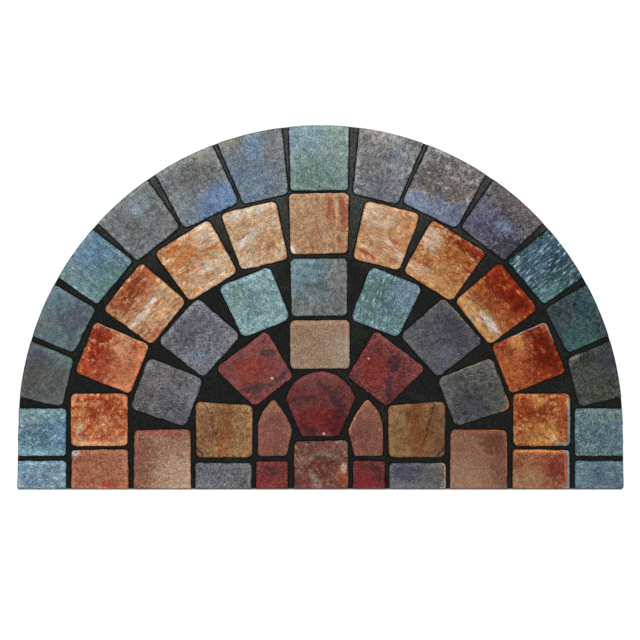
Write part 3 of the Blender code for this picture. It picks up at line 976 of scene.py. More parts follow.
OCHRE = StonePrint(Tones((112, 76, 48), (136, 99, 66), (160, 128, 90)), (
    Patch((114, 70, 42), -10, 20, 22, 80, 75, 4), Patch((144, 86, 52), 5, -40, 22, 50, 55),
    Patch((152, 114, 78), -80, 20, 35, 100, 60), Patch((122, 84, 60), 80, -10, 35, 100),
    Patch((118, 76, 52), 35, 10, 10, 50, 60, -14), Crack((66, 46, 36), 36, 74, -35, 95, 75),
    Crack((52, 38, 32), 150, 48, -100, -55, 90, 1.8)), mottle=1.0, fibre_turn=82)
# Painted shade: the ochre print darkened for the right half, with cracks and an edging of its own.
OCHRE_SHADED = OCHRE.shaded(
    0.89, Patch((130, 74, 40), 0, 0, 45, 90, 35), Crack((50, 36, 28), 36, 74, -60, 95, 75, 1.2),
    Crack((60, 44, 34), 42, -42, -90, 10, 60), Edging((176, 116, 70), -0.8, 0.7, 1.6, 60))
PURPLE_SILVER = StonePrint(Tones((80, 79, 83), (102, 102, 105), (126, 125, 129)), (
    Patch((88, 86, 96), 30, 60, 100, 40, 60), Patch((116, 114, 124), 60, -60, 50, 40, 60),
    Patch((98, 100, 98), -60, 20, 50, 90, 60), Flecks((136, 140, 136), 3, 30, 50)), 1.0, 1.3, 6)
PURPLE_SILVER_DEEP = StonePrint(Tones((72, 70, 73), (91, 89, 91), (112, 111, 112)), (
    Patch((74, 72, 88), -40, 40, 70, 60, 80), Patch((108, 106, 114), -40, -85, 80, 30),
    Patch((88, 88, 84), 60, 20, 40, 80, 60), Flecks((124, 126, 120), 3, 26, 45),
    Edging((196, 158, 118), 1, 0, 2.0, 90)), 1.0, 1.4, 6)
DARK_RED = StonePrint(Tones((88, 40, 40), (108, 50, 48), (128, 66, 62)), (
    Patch((120, 50, 48), 20, -50, 70, 50), Patch((72, 46, 50), 0, 35, 50, 20, 75, 26),
    Flecks((150, 64, 58), 2.8, 30, 50)), 1.0, 1.3, 20)
DARK_RED_DEEP = StonePrint(Tones((82, 34, 34), (102, 46, 45), (122, 60, 58)), (
    Patch((112, 40, 40), -20, -40, 70, 50), Patch((70, 38, 40), 50, 40, 55, 30, 75, -50),
    Flecks((144, 56, 52), 2.8, 28, 50)), 1.0, 1.3, 20)
RED_MARBLED = StonePrint(Tones((84, 46, 40), (104, 67, 57), (132, 98, 84)), (
    Patch((106, 48, 40), 5, -10, 40, 35, 80), Patch((100, 50, 44), -70, -60, 35, 50, 60),
    Patch((150, 80, 54), 85, -45, 25, 35), Patch((130, 110, 96), -45, 25, 36, 11, 65, 28),
    Patch((134, 112, 98), 35, 40, 36, 10, 65, -16), Patch((70, 60, 66), 0, 30, 20, 9, 80),
    Patch((176, 154, 136), 85, -10, 10, 16, 85), Patch((140, 118, 104), -20, -65, 12, 40, 70, 30),
    Streaks((150, 128, 112), -48, 32, 60, 14, 3.2), Flecks((112, 48, 38), 6, 40, 60)), 1.3, 1.0, 40)
SALMON = StonePrint(Tones((110, 65, 54), (126, 80, 68), (145, 100, 84)), (
    Patch((138, 94, 72), 10, 85, 90, 35), Patch((116, 68, 62), -20, -30, 30, 80, 50),
    Streaks((152, 104, 86), 88, 34, 50, 20, 2.4)), mottle=0.7, fibre_turn=84)
# Painted shade: the salmon print slightly darkened for the right half, with an edging of its own.
SALMON_EDGED = SALMON.shaded(
    0.97, Edging((196, 134, 96), -0.75, 0.75, 2.0, 85, 40))
KEYSTONE_RED = StonePrint(Tones((78, 35, 34), (99, 49, 47), (122, 70, 67)), (
    Patch((116, 66, 62), -10, 85, 80, 25), Patch((104, 32, 32), -5, -50, 60, 40, 80),
    Patch((76, 30, 31), 55, -60, 30, 50, 80), Patch((64, 42, 46), 30, 35, 35, 13, 75, -42),
    Patch((66, 40, 44), 50, -5, 40, 12, 75, -52), Patch((72, 42, 45), -50, 15, 40, 10, 60, 4),
    Patch((62, 36, 40), -30, -85, 25, 14, 75, -20), Patch((186, 150, 146), 10, -92, 3.5, 3.5, 100),
    Flecks((148, 66, 58), 2.6, 28, 50)), mottle=0.8, fibre_turn=4)
# Painted shade: the sky-violet print darkened for the right half.
SKY_VIOLET_SHADED = SKY_VIOLET.shaded(0.8, Patch((84, 104, 114), 0, -50, 140, 50, 60))


# The stones

class Side(Enum):
    """The side of the centre line. A stone on the line counts as right."""

    LEFT = -1
    RIGHT = 1


@dataclass(frozen=True)
class StonePlan:
    """One stone's outline, and the frame that its print is laid in."""

    name: str
    loop: Loop
    middle: Pair
    axis: float  # the bearing of its long axis from +Y, in radians
    half: Pair  # half its width and half its length, in millimetres
    finish: StonePrint
    seed: float
    side: Side = Side.RIGHT  # on the left, the print is turned over

    def twin(self, name: str, finish: StonePrint, seed: float) -> "StonePlan":
        """Return the same stone on the other side of the centre line."""
        middle = (-self.middle[0], self.middle[1])
        return replace(self, name=name, loop=self.loop[::-1] * (-1, 1), middle=middle, axis=-self.axis,
                       side=Side.LEFT, finish=finish, seed=seed)


@dataclass(frozen=True)
class Stone:
    """A stone on the centre line, or one on the right with a twin on the left."""

    name: str
    left: StonePrint | None  # None for a stone on the centre line
    # For a stone with a twin, this print is darker than the left one, partly with painted shade.
    right: StonePrint
    corner: float  # the radius of its corners, in millimetres

    def plan(self, mat: MatPlan, seed: float) -> StonePlan:
        """Lay the stone out on the right half.

        Args:
            mat: The mat's outline.
            seed: Picks the stone's own noise.

        Returns:
            The stone's plan.
        """
        raise NotImplementedError


CORNERS = ((-1, -1), (-1, 1), (1, 1), (1, -1))  # the end and the side of each corner, anticlockwise


@dataclass(frozen=True)
class RingStone(Stone):
    """A stone laid round the arc's centre, in millimetres and degrees."""

    bearing: float  # of its middle, from straight up
    distance: float  # from the arc's centre to its middle
    length: float
    inner: float  # its width at the inner end
    outer: float
    lean: float  # how much more upright its axis stands than its own radius
    slope: float  # the same for its two ends

    def plan(self, mat: MatPlan, seed: float) -> StonePlan:
        """Lay the stone out; the arguments are as any stone's."""
        bearing = radians(self.bearing)
        axis = radians(self.bearing - self.lean)
        across = radians(self.bearing - self.slope)
        middle = (self.distance * MM * sin(bearing), mat.arc_centre + self.distance * MM * cos(bearing))
        corners = []
        for end, side in CORNERS:
            width = self.outer if end > 0 else self.inner
            x = middle[0] + MM / 2 * (end * self.length * sin(axis) + side * width * cos(across))
            y = middle[1] + MM / 2 * (end * self.length * cos(axis) - side * width * sin(across))
            corners.append((x, y))
        loop = rounded(corners, [self.corner * MM] * len(corners))
        half = ((self.inner + self.outer) / 4, self.length / 2)
        return StonePlan(self.name, loop, middle, axis, half, self.right, seed)


@dataclass(frozen=True)
class UprightStone(Stone):
    """A stone beside the centre line, in millimetres from it and from the straight edge."""

    middle: float
    foot: float
    head: float
    foot_width: float
    head_width: float
    slope: float  # how much its head rises outwards, in degrees

    def plan(self, mat: MatPlan, seed: float) -> StonePlan:
        """Lay the stone out; the arguments are as any stone's."""
        corners = []
        for end, side in CORNERS:
            height, width = (self.head, self.head_width) if end > 0 else (self.foot, self.foot_width)
            rise = side * width / 2 * tan(radians(self.slope)) if end > 0 else 0
            corners.append(((self.middle + side * width / 2) * MM, mat.straight_edge + (height + rise) * MM))
        loop = rounded(corners, [self.corner * MM] * len(corners))
        low = max(self.foot, 0)
        middle = (self.middle * MM, mat.straight_edge + (low + self.head) / 2 * MM)
        half = (self.head_width / 2, (self.head - low) / 2)
        return StonePlan(self.name, loop, middle, 0, half, self.right, seed)


@dataclass(frozen=True)
class Keystone(Stone):
    """The round head over straight sides that taper to a flat foot, with heights above the straight edge."""

    name: str = "stone_keystone"
    left: StonePrint | None = None
    right: StonePrint = KEYSTONE_RED
    corner: float = 5
    radius: float = 53.5 * MM
    centre: float = 124.5 * MM
    shoulder: float = 137 * MM
    foot: float = 80.5 * MM
    foot_width: float = 56 * MM
    steps: int = 24

    def plan(self, mat: MatPlan, seed: float) -> StonePlan:
        """Lay the stone out; the arguments are as any stone's."""
        centre = mat.straight_edge + self.centre
        foot = mat.straight_edge + self.foot
        start = asin((self.shoulder - self.centre) / self.radius)
        head = arc((0, centre), self.radius, start, pi - start, self.steps)
        corners = [(-self.foot_width / 2, foot), (self.foot_width / 2, foot)] + head
        corner = self.corner * MM
        loop = rounded(corners, [corner] * 3 + [0] * (len(head) - 2) + [corner])
        length = self.centre + self.radius - self.foot
        half = (self.radius / MM, length / 2 / MM)
        return StonePlan(self.name, loop, (0, foot + length / 2), 0, half, self.right, seed)


@dataclass(frozen=True)
class Spearhead(Stone):
    """The pointed stone beside the keystone, with its corners in millimetres."""

    name: str = "stone_spearhead"
    left: StonePrint | None = SALMON
    right: StonePrint = SALMON_EDGED
    corner: float = 5
    across: tuple[float, ...] = (94, 94, 88, 71, 52.5, 42, 51.5)  # from the centre line
    up: tuple[float, ...] = (51, 99, 117, 138, 113.5, 89.5, 51)  # from the straight edge

    def plan(self, mat: MatPlan, seed: float) -> StonePlan:
        """Lay the stone out; the arguments are as any stone's."""
        corners = [(x * MM, mat.straight_edge + y * MM) for x, y in zip(self.across, self.up)]
        loop = rounded(corners, [self.corner * MM] * len(corners))
        half = ((max(self.across) - min(self.across)) / 2, (max(self.up) - min(self.up)) / 2)
        middle = (corners[0][0] - half[0] * MM, corners[0][1] + half[1] * MM)
        return StonePlan(self.name, loop, middle, 0, half, self.right, seed)


RINGS = (
    # rim, trimmed by the outline
    RingStone("stone_rim_top", None, TEAL, 5, -0.3, 413.5, 113, 86, 91, 0, 0),
    RingStone("stone_rim_1", SLATE_BLUE, SLATE_PALE, 8, 13.6, 412, 117, 69, 105, -1, 0),
    RingStone("stone_rim_2", SLATE_SKY, SLATE_HEATHER, 9, 27.1, 415, 113, 91, 97, 0.5, 1),
    RingStone("stone_rim_3", SLATE, SLATE_VIOLET, 7, 41.3, 420, 104, 82, 103, 1, 3.5),
    RingStone("stone_rim_4", LAKE, LAKE_DEEP, 5, 54.7, 425, 94, 85, 89, 1, 4.5),
    RingStone("stone_rim_5", DEEP_TEAL, TEAL_NIGHT, 7, 67.3, 428, 89, 75, 86, 4, 4),
    RingStone("stone_rim_6", DARK_SLATE, SLATE_NIGHT, 9, 79.2, 429, 86, 75, 88, 7, 3),
    # second ring
    RingStone("stone_second_top", None, TAN_STREAKED, 7, -0.4, 307, 91, 86, 90, 0, 0.5),
    RingStone("stone_second_1", TAN_VEINED, TAN_RUSTY, 8, 18.5, 304, 90, 72, 85, 2, 5),
    RingStone("stone_second_2", AMBER, AMBER_DEEP, 8, 36.5, 311, 90, 85, 96, 4, 4.5),
    RingStone("stone_second_3", RUST_BANDED, RUST_BANDED_DEEP, 8, 54.9, 322, 90, 84, 91, 3.5, 3.5),
    RingStone("stone_second_4", RUST_FIERY, RUST_FIERY_DEEP, 7, 71.6, 330, 89, 79, 82, 4, 3),
    # third ring
    RingStone("stone_third_top", None, TEAL_SLATE, 7, -0.6, 211, 86, 83, 85, 0, 0),
    RingStone("stone_third_1", TEAL_PALE, TEAL_STREAKED, 9, 27.5, 212, 85, 76, 83, 4, 6),
    RingStone("stone_third_2", PURPLE_GREY, PURPLE_GREY_SHADED, 9, 53.5, 226, 87, 85, 89, 3, 5.5),
    RingStone("stone_third_3", PURPLE_MOSSY, PURPLE_MOSSY_DEEP, 10, 77.3, 237, 88, 77, 82, 7.5, 8),
    # fourth ring
    RingStone("stone_fourth_top", None, SAND, 7, -0.4, 125, 73, 89, 90, 0, 0),
    RingStone("stone_fourth_1", BRICK_VEINED, BRICK_DEEP, 8, 48.1, 128, 81, 74, 96, 10, 11),
)
UPRIGHTS = (
    UprightStone("stone_rim_7", SKY, SKY_GREEN, 5, 429, 51, 122.5, 92, 92, 0),
    UprightStone("stone_rim_8", SKY_VIOLET, SKY_VIOLET_SHADED, 5, 429, -12, 43.5, 92, 92, 0),
    UprightStone("stone_second_5", RUST_BLOTTED, RUST_GOLDEN, 8, 333, 66, 145, 85.5, 85.5, 0),
    UprightStone("stone_second_6", RUSSET, RUSSET_DEEP, 5, 332, -12, 60.5, 86, 85, -1),
    UprightStone("stone_third_4", ROSE_BROWN, ROSE_SHADED, 7, 238, -12, 90.5, 86.5, 84.5, -1),
    UprightStone("stone_fourth_2", OCHRE, OCHRE_SHADED, 8, 145, 49, 130, 84, 86.5, 4),
    UprightStone("stone_fourth_3", PURPLE_SILVER, PURPLE_SILVER_DEEP, 6, 146, -12, 40.5, 84.5, 84.5, 0),
    UprightStone("stone_core_1", DARK_RED, DARK_RED_DEEP, 4, 73, -12, 43.5, 47.5, 47.5, 0),
    UprightStone("stone_core_foot", None, RED_MARBLED, 6, 1, -12, 73.5, 81.5, 81, 1),
)


def stone_plans(mat: MatPlan) -> list[StonePlan]:
    """Lay out all the stones, and the twins of those beside the centre line.

    Args:
        mat: The mat's outline.

    Returns:
        The plans; each has a seed of its own.
    """
    plans = []
    for stone in (Keystone(), *RINGS, *UPRIGHTS, Spearhead()):
        plan = stone.plan(mat, len(plans) + 1)
        if stone.left is None:
            plans.append(plan)
            continue
        plans.append(replace(plan, name=f"{stone.name}_right"))
        plans.append(plan.twin(f"{stone.name}_left", stone.left, len(plans) + 1))
    return plans


# Modelling

FELT_CREASE = 50  # the angle from which a felt edge stays sharp, in degrees


def begin() -> None:
    """Leave nothing selected."""
    bpy.ops.object.select_all(action="DESELECT")


def open_rim() -> None:
    """Go into edit mode with the rim of the active piece's surface selected."""
    bpy.ops.object.mode_set(mode="EDIT")
    bpy.ops.mesh.select_all(action="SELECT")
    bpy.ops.mesh.region_to_loop()


def extrude(x: float, y: float, z: float) -> None:
    """Extrude what is selected."""
    bpy.ops.mesh.extrude_region_move(TRANSFORM_OT_translate={"value": (x, y, z)})


def settle(piece: bpy.types.Object, material: bpy.types.Material, crease: float) -> None:
    """Finish a piece: its normals, its shading and its material.

    Args:
        piece: The piece, active, in object mode.
        material: Its material.
        crease: The angle from which an edge stays sharp, in degrees.
    """
    bpy.ops.object.mode_set(mode="EDIT")
    bpy.ops.mesh.select_all(action="SELECT")
    bpy.ops.mesh.normals_make_consistent(inside=False)
    bpy.ops.object.mode_set(mode="OBJECT")
    bpy.ops.object.shade_smooth_by_angle(angle=radians(crease))
    piece.data.materials.clear()
    piece.data.materials.append(material)
    begin()


def carry(piece: bpy.types.Object, name: str, numbers: np.ndarray) -> None:
    """Store a number for each vertex on a piece's mesh."""
    piece.data.attributes.new(name, "FLOAT", "POINT").data.foreach_set("value", numbers.astype(np.float32))


@dataclass(frozen=True)
class StoneMould:
    """The relief that the felt is pressed to at each stone."""

    layers: Layers
    cell: float = 1.4 * MM
    outline_step: float = 0.4 * MM  # how finely an outline is divided before its corners are found
    touching: float = 0.02 * MM  # closer than this to the felt's own outline, a rim is trimmed
    shoulder: float = 2.0 * MM
    trimmed_shoulder: float = 0.5 * MM
    shoulder_steps: int = 4
    foot: float = 4.3 * MM
    crown: float = 0.3 * MM
    crown_reach: float = 6 * MM
    pile: float = 0.18 * MM
    pile_span: float = 4.5 * MM
    fine_pile: float = 0.6  # of the pile, at half the span
    wobble: float = 0.8 * MM
    wobble_span: float = 15 * MM
    fringe: float = 0.55 * MM
    fringe_span: float = 3.2 * MM
    spread_out: float = 0.25 * MM

    @property
    def rings(self) -> int:
        """How many rings of faces lie below the stone's top: its shoulder and two for its side."""
        return self.shoulder_steps + 2

    def rim(self, stone: StonePlan, fence: Loop) -> tuple[Loop, tuple[int, ...]]:
        """Return the stone's outline inside the mat, divided for a grid.

        Args:
            stone: The stone's plan.
            fence: The felt's outline.

        Returns:
            The outline from its lower left corner, and the grid's cells across and along.
        """
        fine = spaced(clipped(stone.loop, fence), self.outline_step)
        turned = fine - fine.mean(0)
        across = turned @ (cos(stone.axis), -sin(stone.axis))
        upward = turned @ (sin(stone.axis), cos(stone.axis))
        corners = [int(np.argmax(x * across / np.ptp(across) + y * upward / np.ptp(upward)))
                   for y, x in CORNERS]
        runs = []
        for start, end in zip(corners, corners[1:] + corners[:1]):
            count = (end - start) % len(fine) + 1
            runs.append(np.roll(fine, -start, axis=0)[:count])
        lengths = [np.hypot(*np.diff(run, axis=0).T).sum() for run in runs]
        cells = tuple(round((lengths[side] + lengths[side + 2]) / 2 / self.cell) for side in range(2))
        rim = np.vstack([along(run, cells[index % 2])[:-1] for index, run in enumerate(runs)])
        return rim, cells

    def blank(self, name: str, wide: int, high: int) -> bpy.types.Object:
        """Make a grid with rings of faces below its rim, one unit apart, and a base.

        Args:
            name: The piece's name.
            wide: The grid's cells across.
            high: Its cells along.

        Returns:
            The piece, one unit across and one along.
        """
        bpy.ops.mesh.primitive_grid_add(x_subdivisions=wide, y_subdivisions=high, size=1)
        piece = bpy.context.object
        piece.name = piece.data.name = name
        open_rim()
        for _ in range(self.rings):
            extrude(0, 0, -1)
        bpy.ops.mesh.edge_face_add()
        bpy.ops.object.mode_set(mode="OBJECT")
        return piece

    def cast(self, stone: StonePlan, fence: Loop) -> bpy.types.Object:
        """Model one stone.

        Args:
            stone: The stone's plan.
            fence: The felt's outline.

        Returns:
            The stone's object, without a material.
        """
        rim, (wide, high) = self.rim(stone, fence)
        trimmed = gap_to(rim, fence) < self.touching
        bulge = (self.spread_out + ripple(rim, self.wobble_span, stone.seed) * self.wobble
                 + ripple(rim, self.fringe_span, stone.seed) * self.fringe)
        rim = rim - offsets(rim, np.where(trimmed, 0, bulge))
        both = trimmed & np.roll(trimmed, -1)
        moves = offsets(rim, np.where(both, self.trimmed_shoulder, self.shoulder))
        crest = rim + moves

        piece = self.blank(stone.name, wide, high)
        places = np.empty(len(piece.data.vertices) * 3, np.float32)
        piece.data.vertices.foreach_get("co", places)
        places = places.reshape(-1, 3)
        column = np.rint((places[:, 0] + 0.5) * wide).astype(int)
        row = np.rint((places[:, 1] + 0.5) * high).astype(int)
        ring = np.rint(-places[:, 2]).astype(int)
        flat = self.spread(crest, wide, high, column, row)
        station = np.select([row == 0, column == wide, row == high],
                            [column, wide + row, 2 * wide + high - column], 2 * (wide + high) - row)
        station %= len(rim)

        turn = np.minimum(ring, self.shoulder_steps) / self.shoulder_steps * pi / 2
        width = np.where(trimmed, self.trimmed_shoulder, self.shoulder)[station]
        on_ring = ring > 0
        flat[on_ring] = (crest[station] - moves[station] * np.sin(turn)[:, None])[on_ring]
        inland = np.where(on_ring, width * (1 - np.sin(turn)), gap_to(flat, rim))
        height = self.layers.stone - self.crown * np.exp(-inland / self.crown_reach)
        height = height - np.where(on_ring, width * (1 - np.cos(turn)), 0)
        height = height + self.pile * (ripple(flat, self.pile_span, stone.seed)
                                       + self.fine_pile * ripple(flat, self.pile_span / 2, -stone.seed))
        foot = np.where(trimmed[station], self.layers.felt_bottom, self.foot)
        height = np.where(ring == self.rings - 1, (self.layers.ground + foot) / 2, height)
        height = np.where(ring == self.rings, foot, height)
        piece.data.vertices.foreach_set("co", np.column_stack([flat, height]).astype(np.float32).ravel())
        piece.data.update()
        carry(piece, "rim", inland)
        return piece

    @staticmethod
    def spread(crest: Loop, wide: int, high: int, column: np.ndarray, row: np.ndarray) -> Loop:
        """Lay a grid over the area that an outline encloses.

        Args:
            crest: The outline, from its lower left corner.
            wide: The cells across.
            high: The cells along.
            column: Each point's column.
            row: Each point's row.

        Returns:
            The place of each point.
        """
        closed = np.vstack([crest, crest[:1]])
        bottom = closed[:wide + 1]
        right = closed[wide:wide + high + 1]
        top = closed[wide + high:2 * wide + high + 1][::-1]
        left = closed[2 * wide + high:][::-1]
        x = (column / wide)[:, None]
        y = (row / high)[:, None]
        sides = (1 - y) * bottom[column] + y * top[column] + (1 - x) * left[row] + x * right[row]
        return sides - ((1 - x) * (1 - y) * bottom[0] + x * (1 - y) * bottom[-1]
                        + (1 - x) * y * top[0] + x * y * top[-1])


@dataclass(frozen=True)
class StoneFace:
    """All the raised stones."""

    mat: MatPlan
    layers: Layers

    def build(self, plans: list[StonePlan]) -> list[bpy.types.Object]:
        """Args:
            plans: The stones' plans.

        Returns:
            The stones.
        """
        mould = StoneMould(self.layers)
        fence = self.mat.outline(lip=self.layers.lip)
        pieces = []
        for plan in plans:
            begin()
            piece = mould.cast(plan, fence)
            settle(piece, plan.finish.material(f"print_{plan.name}", plan), FELT_CREASE)
            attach(piece, ROOT)
            pieces.append(piece)
        LOG.info("stones: %d pieces", len(pieces))
        return pieces


@dataclass(frozen=True)
class GroundFelt:
    """The charcoal felt sheet that the stones rise from, with a groove round each stone."""

    mat: MatPlan
    layers: Layers
    inset: float = 0.15 * MM  # inside the stones' trimmed sides
    groove: float = 0.9 * MM
    groove_reach: float = 1.1 * MM
    step: float = 1.6 * MM
    lattice_step: float = 1.15  # of the step, between the bands
    hidden_step: float = 9 * MM
    bands: tuple[float, ...] = (-1.2 * MM, 0, 0.6 * MM, 1.3 * MM)
    band_clearance: float = 0.7 * MM
    hidden_clearance: float = 3 * MM
    stone_step: float = 0.7 * MM  # between the points that distances to a stone are measured to
    pile: float = 0.12 * MM
    pile_span: float = 3.2 * MM
    pile_reach: float = 2 * MM  # where it has its full height, from a stone
    pile_seed: float = 5

    def build(self, plans: list[StonePlan], stones: list[bpy.types.Object]) -> bpy.types.Object:
        """Args:
            plans: The stones' plans.
            stones: The stones' pieces; not used.

        Returns:
            The sheet.
        """
        begin()
        outline = spaced(self.mat.outline(self.layers.lip + self.inset, self.inset), self.step)
        verts, faces = self.triangulate(outline, plans)
        mesh = bpy.data.meshes.new("felt_ground")
        flat = np.array([tuple(vert) for vert in verts])
        away, under = self.beside(flat, plans)
        joint = np.where(under, 0, away)
        height = self.layers.ground - self.groove * np.exp(-((joint / self.groove_reach) ** 2))
        rough = self.pile * ripple(flat, self.pile_span, self.pile_seed)
        height += rough * np.minimum(joint / self.pile_reach, 1)
        mesh.from_pydata(np.column_stack([flat, height]).tolist(), [], faces)
        piece = bpy.data.objects.new("felt_ground", mesh)
        bpy.context.scene.collection.objects.link(piece)
        carry(piece, "joint", joint)
        bpy.context.view_layer.objects.active = piece
        piece.select_set(True)
        self.close()
        settle(piece, GroundPrint().material("felt_ground", 0, -self.mat.straight_edge), FELT_CREASE)
        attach(piece, ROOT)
        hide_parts("felt_face")
        area = self.area(self.mat.outline(self.layers.lip))
        LOG.info("felt ground: %d triangles on its face, %.3f square metres", len(faces), area)
        return piece

    @staticmethod
    def area(loop: Loop) -> float:
        """Return the area inside an outline."""
        x, y = loop.T
        return float(abs(x @ np.roll(y, -1) - y @ np.roll(x, -1)) / 2)

    def beside(self, points: Loop, plans: list[StonePlan]) -> tuple[np.ndarray, np.ndarray]:
        """Measure where points lie against the stones.

        Args:
            points: The points.
            plans: The stones' plans.

        Returns:
            Each point's distance to the nearest stone's outline, and whether it lies under a stone.
        """
        fine = np.vstack([spaced(plan.loop, self.stone_step) for plan in plans])
        tree = kdtree.KDTree(len(fine))
        for index, (x, y) in enumerate(fine):
            tree.insert((x, y, 0), index)
        tree.balance()
        away = np.array([tree.find((x, y, 0))[2] for x, y in points])
        under = np.zeros(len(points), bool)
        for plan in plans:
            low, high = plan.loop.min(0), plan.loop.max(0)
            near = np.flatnonzero(((points > low) & (points < high)).all(1))
            under[near] |= within(points[near], plan.loop)
        return away, under

    def triangulate(self, outline: Loop, plans: list[StonePlan]) -> tuple[list[Vector], list[list[int]]]:
        """Divide the sheet finely between the stones, in bands along them, and coarsely under them.

        Args:
            outline: The sheet's outline.
            plans: The stones' plans.

        Returns:
            The points and the triangles.
        """
        points = list(outline)
        edges = []
        for plan in plans:
            loop = spaced(plan.loop, self.step)
            for band in self.bands:
                ring = loop - offsets(loop, np.full(len(loop), band))
                kept = within(ring, outline) & (gap_to(ring, outline[::3]) > MM / 2)
                number = len(points) + np.cumsum(kept) - 1
                points += list(ring[kept])
                pairs = zip(number, np.roll(number, -1), kept & np.roll(kept, -1))
                edges += [(int(start), int(end)) for start, end, joined in pairs if joined]
        for pitch, hidden in ((self.step * self.lattice_step, False), (self.hidden_step, True)):
            lattice = self.lattice(pitch)
            away, under = self.beside(lattice, plans)
            clear = away > (self.hidden_clearance if hidden else self.bands[-1] + self.band_clearance)
            chosen = lattice[(under == hidden) & clear & within(lattice, outline)]
            points += list(chosen[gap_to(chosen, outline[::3]) > MM])
        vectors = [Vector(point) for point in points]
        verts, _, faces, *_ = delaunay_2d_cdt(vectors, edges, [list(range(len(outline)))], 1, 1e-7)
        return verts, faces

    def lattice(self, pitch: float) -> Loop:
        """Spread points over the mat in staggered rows.

        Args:
            pitch: How far apart they lie.

        Returns:
            The points.
        """
        half = self.mat.width / 2
        rows = np.arange(self.mat.straight_edge, -self.mat.straight_edge, pitch * sin(radians(60)))
        x, y = np.meshgrid(np.arange(-half, half, pitch), rows)
        x = x + (np.arange(len(rows)) % 2 * pitch / 2)[:, None]
        return np.column_stack([x.ravel(), y.ravel()])

    def close(self) -> None:
        """Give the active sheet its cut side and its underside."""
        open_rim()
        drop = (self.layers.ground - self.groove - self.layers.felt_bottom) / 2
        extrude(0, 0, -drop)
        extrude(0, 0, -drop)
        bpy.ops.transform.resize(value=(1, 1, 0))
        bpy.ops.mesh.edge_face_add()
        bpy.ops.object.mode_set(mode="OBJECT")


@dataclass(frozen=True)
class RubberBacking:
    """The rubber sheet under the felt."""

    mat: MatPlan
    layers: Layers
    edge: float = 0.5 * MM
    edge_steps: int = 3
    corner_steps: int = 5
    crease: float = 40  # in degrees
    touching: float = 0.01 * MM  # within this of a line, a vertex lies on it

    def build(self) -> bpy.types.Object:
        """Returns:
            The backing.
        """
        begin()
        chord = (0, self.mat.arc_centre, 0)
        bpy.ops.mesh.primitive_circle_add(vertices=2 * self.mat.arc_steps, radius=self.mat.arc_radius,
                                          fill_type="NGON", location=chord)
        piece = bpy.context.object
        piece.name = piece.data.name = "backing"
        bpy.ops.object.transform_apply(location=True, rotation=False, scale=False)
        bpy.ops.object.mode_set(mode="EDIT")
        bpy.ops.mesh.select_all(action="SELECT")
        bpy.ops.mesh.bisect(plane_co=chord, plane_no=(0, 1, 0), clear_inner=True)
        self.pick(piece, lambda vert: abs(vert.y - self.mat.arc_centre) < self.touching)
        extrude(0, -self.mat.skirt, 0)
        bpy.ops.transform.resize(value=(self.mat.width / 2 / self.mat.arc_radius, 1, 1))
        for side, radius in ((Side.LEFT, self.mat.left_corner), (Side.RIGHT, self.mat.right_corner)):
            self.pick(piece, lambda vert: vert.y < self.mat.straight_edge + self.touching
                      and vert.x * side.value > self.mat.width / 2 - MM)
            bpy.ops.mesh.bevel(offset=radius, segments=self.corner_steps, affect="VERTICES")
        bpy.ops.mesh.select_all(action="SELECT")
        bpy.ops.mesh.dissolve_limited(angle_limit=radians(0.01))
        bpy.ops.mesh.select_all(action="SELECT")
        extrude(0, 0, self.layers.backing)
        bpy.ops.object.mode_set(mode="OBJECT")
        rounding = piece.modifiers.new("edge", "BEVEL")
        rounding.width = self.edge
        rounding.segments = self.edge_steps
        rounding.limit_method = "ANGLE"
        rounding.angle_limit = radians(60)
        bpy.ops.object.modifier_apply(modifier=rounding.name)
        settle(piece, RubberFinish().material("rubber"), self.crease)
        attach(piece, ROOT)
        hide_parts("rubber_backing")
        LOG.info("backing: %d faces", len(piece.data.polygons))
        return piece

    @staticmethod
    def pick(piece: bpy.types.Object, chosen: Callable[[Vector], bool]) -> None:
        """Select the vertices that a test chooses, and the edges between them.

        Args:
            piece: The piece, in edit mode.
            chosen: The test, on a vertex's place.
        """
        bpy.ops.mesh.select_all(action="DESELECT")
        bpy.ops.object.mode_set(mode="OBJECT")
        for vert in piece.data.vertices:
            vert.select = chosen(vert.co)
        bpy.ops.object.mode_set(mode="EDIT")


# Studio

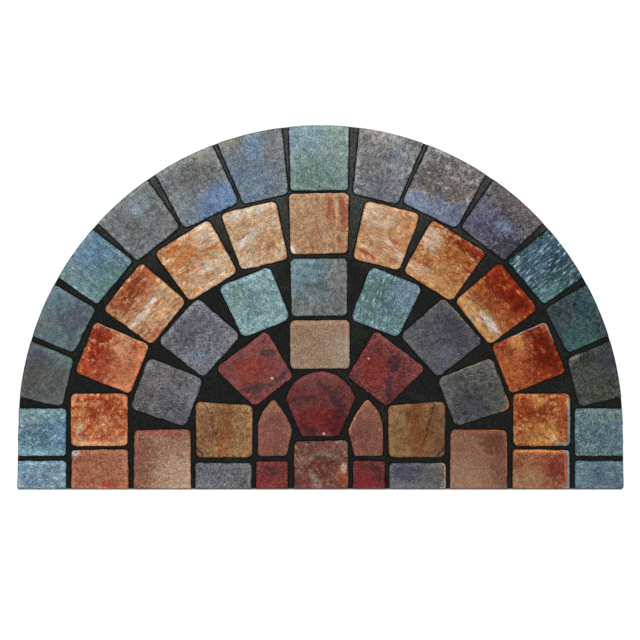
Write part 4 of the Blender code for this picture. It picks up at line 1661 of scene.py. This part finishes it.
@dataclass(frozen=True)
class Studio:
    """The floor, the light and the camera, which looks straight down."""

    mat: MatPlan
    layers: Layers
    picture: int = 640  # pixels a side
    pixel: float = 1.5045 * MM  # what one pixel spans on the stones
    arc_centre_across: float = 320.5  # the arc's centre in the picture, in pixels
    arc_centre_down: float = 427.5
    lens: float = 100
    sensor: float = 36
    floor_size: float = 60
    dome: float = 0.42
    key_strength: float = 1.9
    key_softness: float = 16  # the angle that the lamp fills, in degrees
    key_bearing: float = -25  # from the top of the picture, clockwise
    key_height: float = 64

    def build(self) -> None:
        """Make the floor, the lights and the camera."""
        begin()
        bpy.ops.mesh.primitive_plane_add(size=self.floor_size)
        floor = bpy.context.object
        floor.name = "floor"
        floor.data.materials.append(FloorFinish().material("floor"))

        world = bpy.data.worlds.new("studio")
        world.use_nodes = True
        world.node_tree.nodes["Background"].inputs["Color"].default_value = (1, 1, 1, 1)
        world.node_tree.nodes["Background"].inputs["Strength"].default_value = self.dome
        bpy.context.scene.world = world
        bpy.context.scene.view_settings.view_transform = "Standard"

        bearing, height = radians(self.key_bearing), radians(self.key_height)
        aim = Vector((sin(bearing) * cos(height), cos(bearing) * cos(height), sin(height)))
        bpy.ops.object.light_add(type="SUN", location=aim)
        key = bpy.context.object
        key.rotation_euler = aim.to_track_quat("Z", "Y").to_euler()
        key.data.energy = self.key_strength
        key.data.angle = radians(self.key_softness)

        middle = self.picture / 2
        across = (middle - self.arc_centre_across) * self.pixel
        up = self.mat.arc_centre + (self.arc_centre_down - middle) * self.pixel
        away = self.picture * self.pixel / self.sensor * self.lens
        bpy.ops.object.camera_add(location=(across, up, self.layers.stone + away), rotation=(0, 0, 0))
        camera = bpy.context.object
        camera.data.lens = self.lens
        camera.data.sensor_width = self.sensor
        bpy.context.scene.camera = camera


def main() -> None:
    """Build the doormat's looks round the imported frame."""
    logging.basicConfig(level=logging.INFO, format="%(name)s: %(message)s")
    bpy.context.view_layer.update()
    mat, layers = MatPlan(), Layers()
    plans = stone_plans(mat)
    RubberBacking(mat, layers).build()
    stones = StoneFace(mat, layers).build(plans)
    GroundFelt(mat, layers).build(plans, stones)
    Studio(mat, layers).build()


if __name__ == "__main__":
    main()
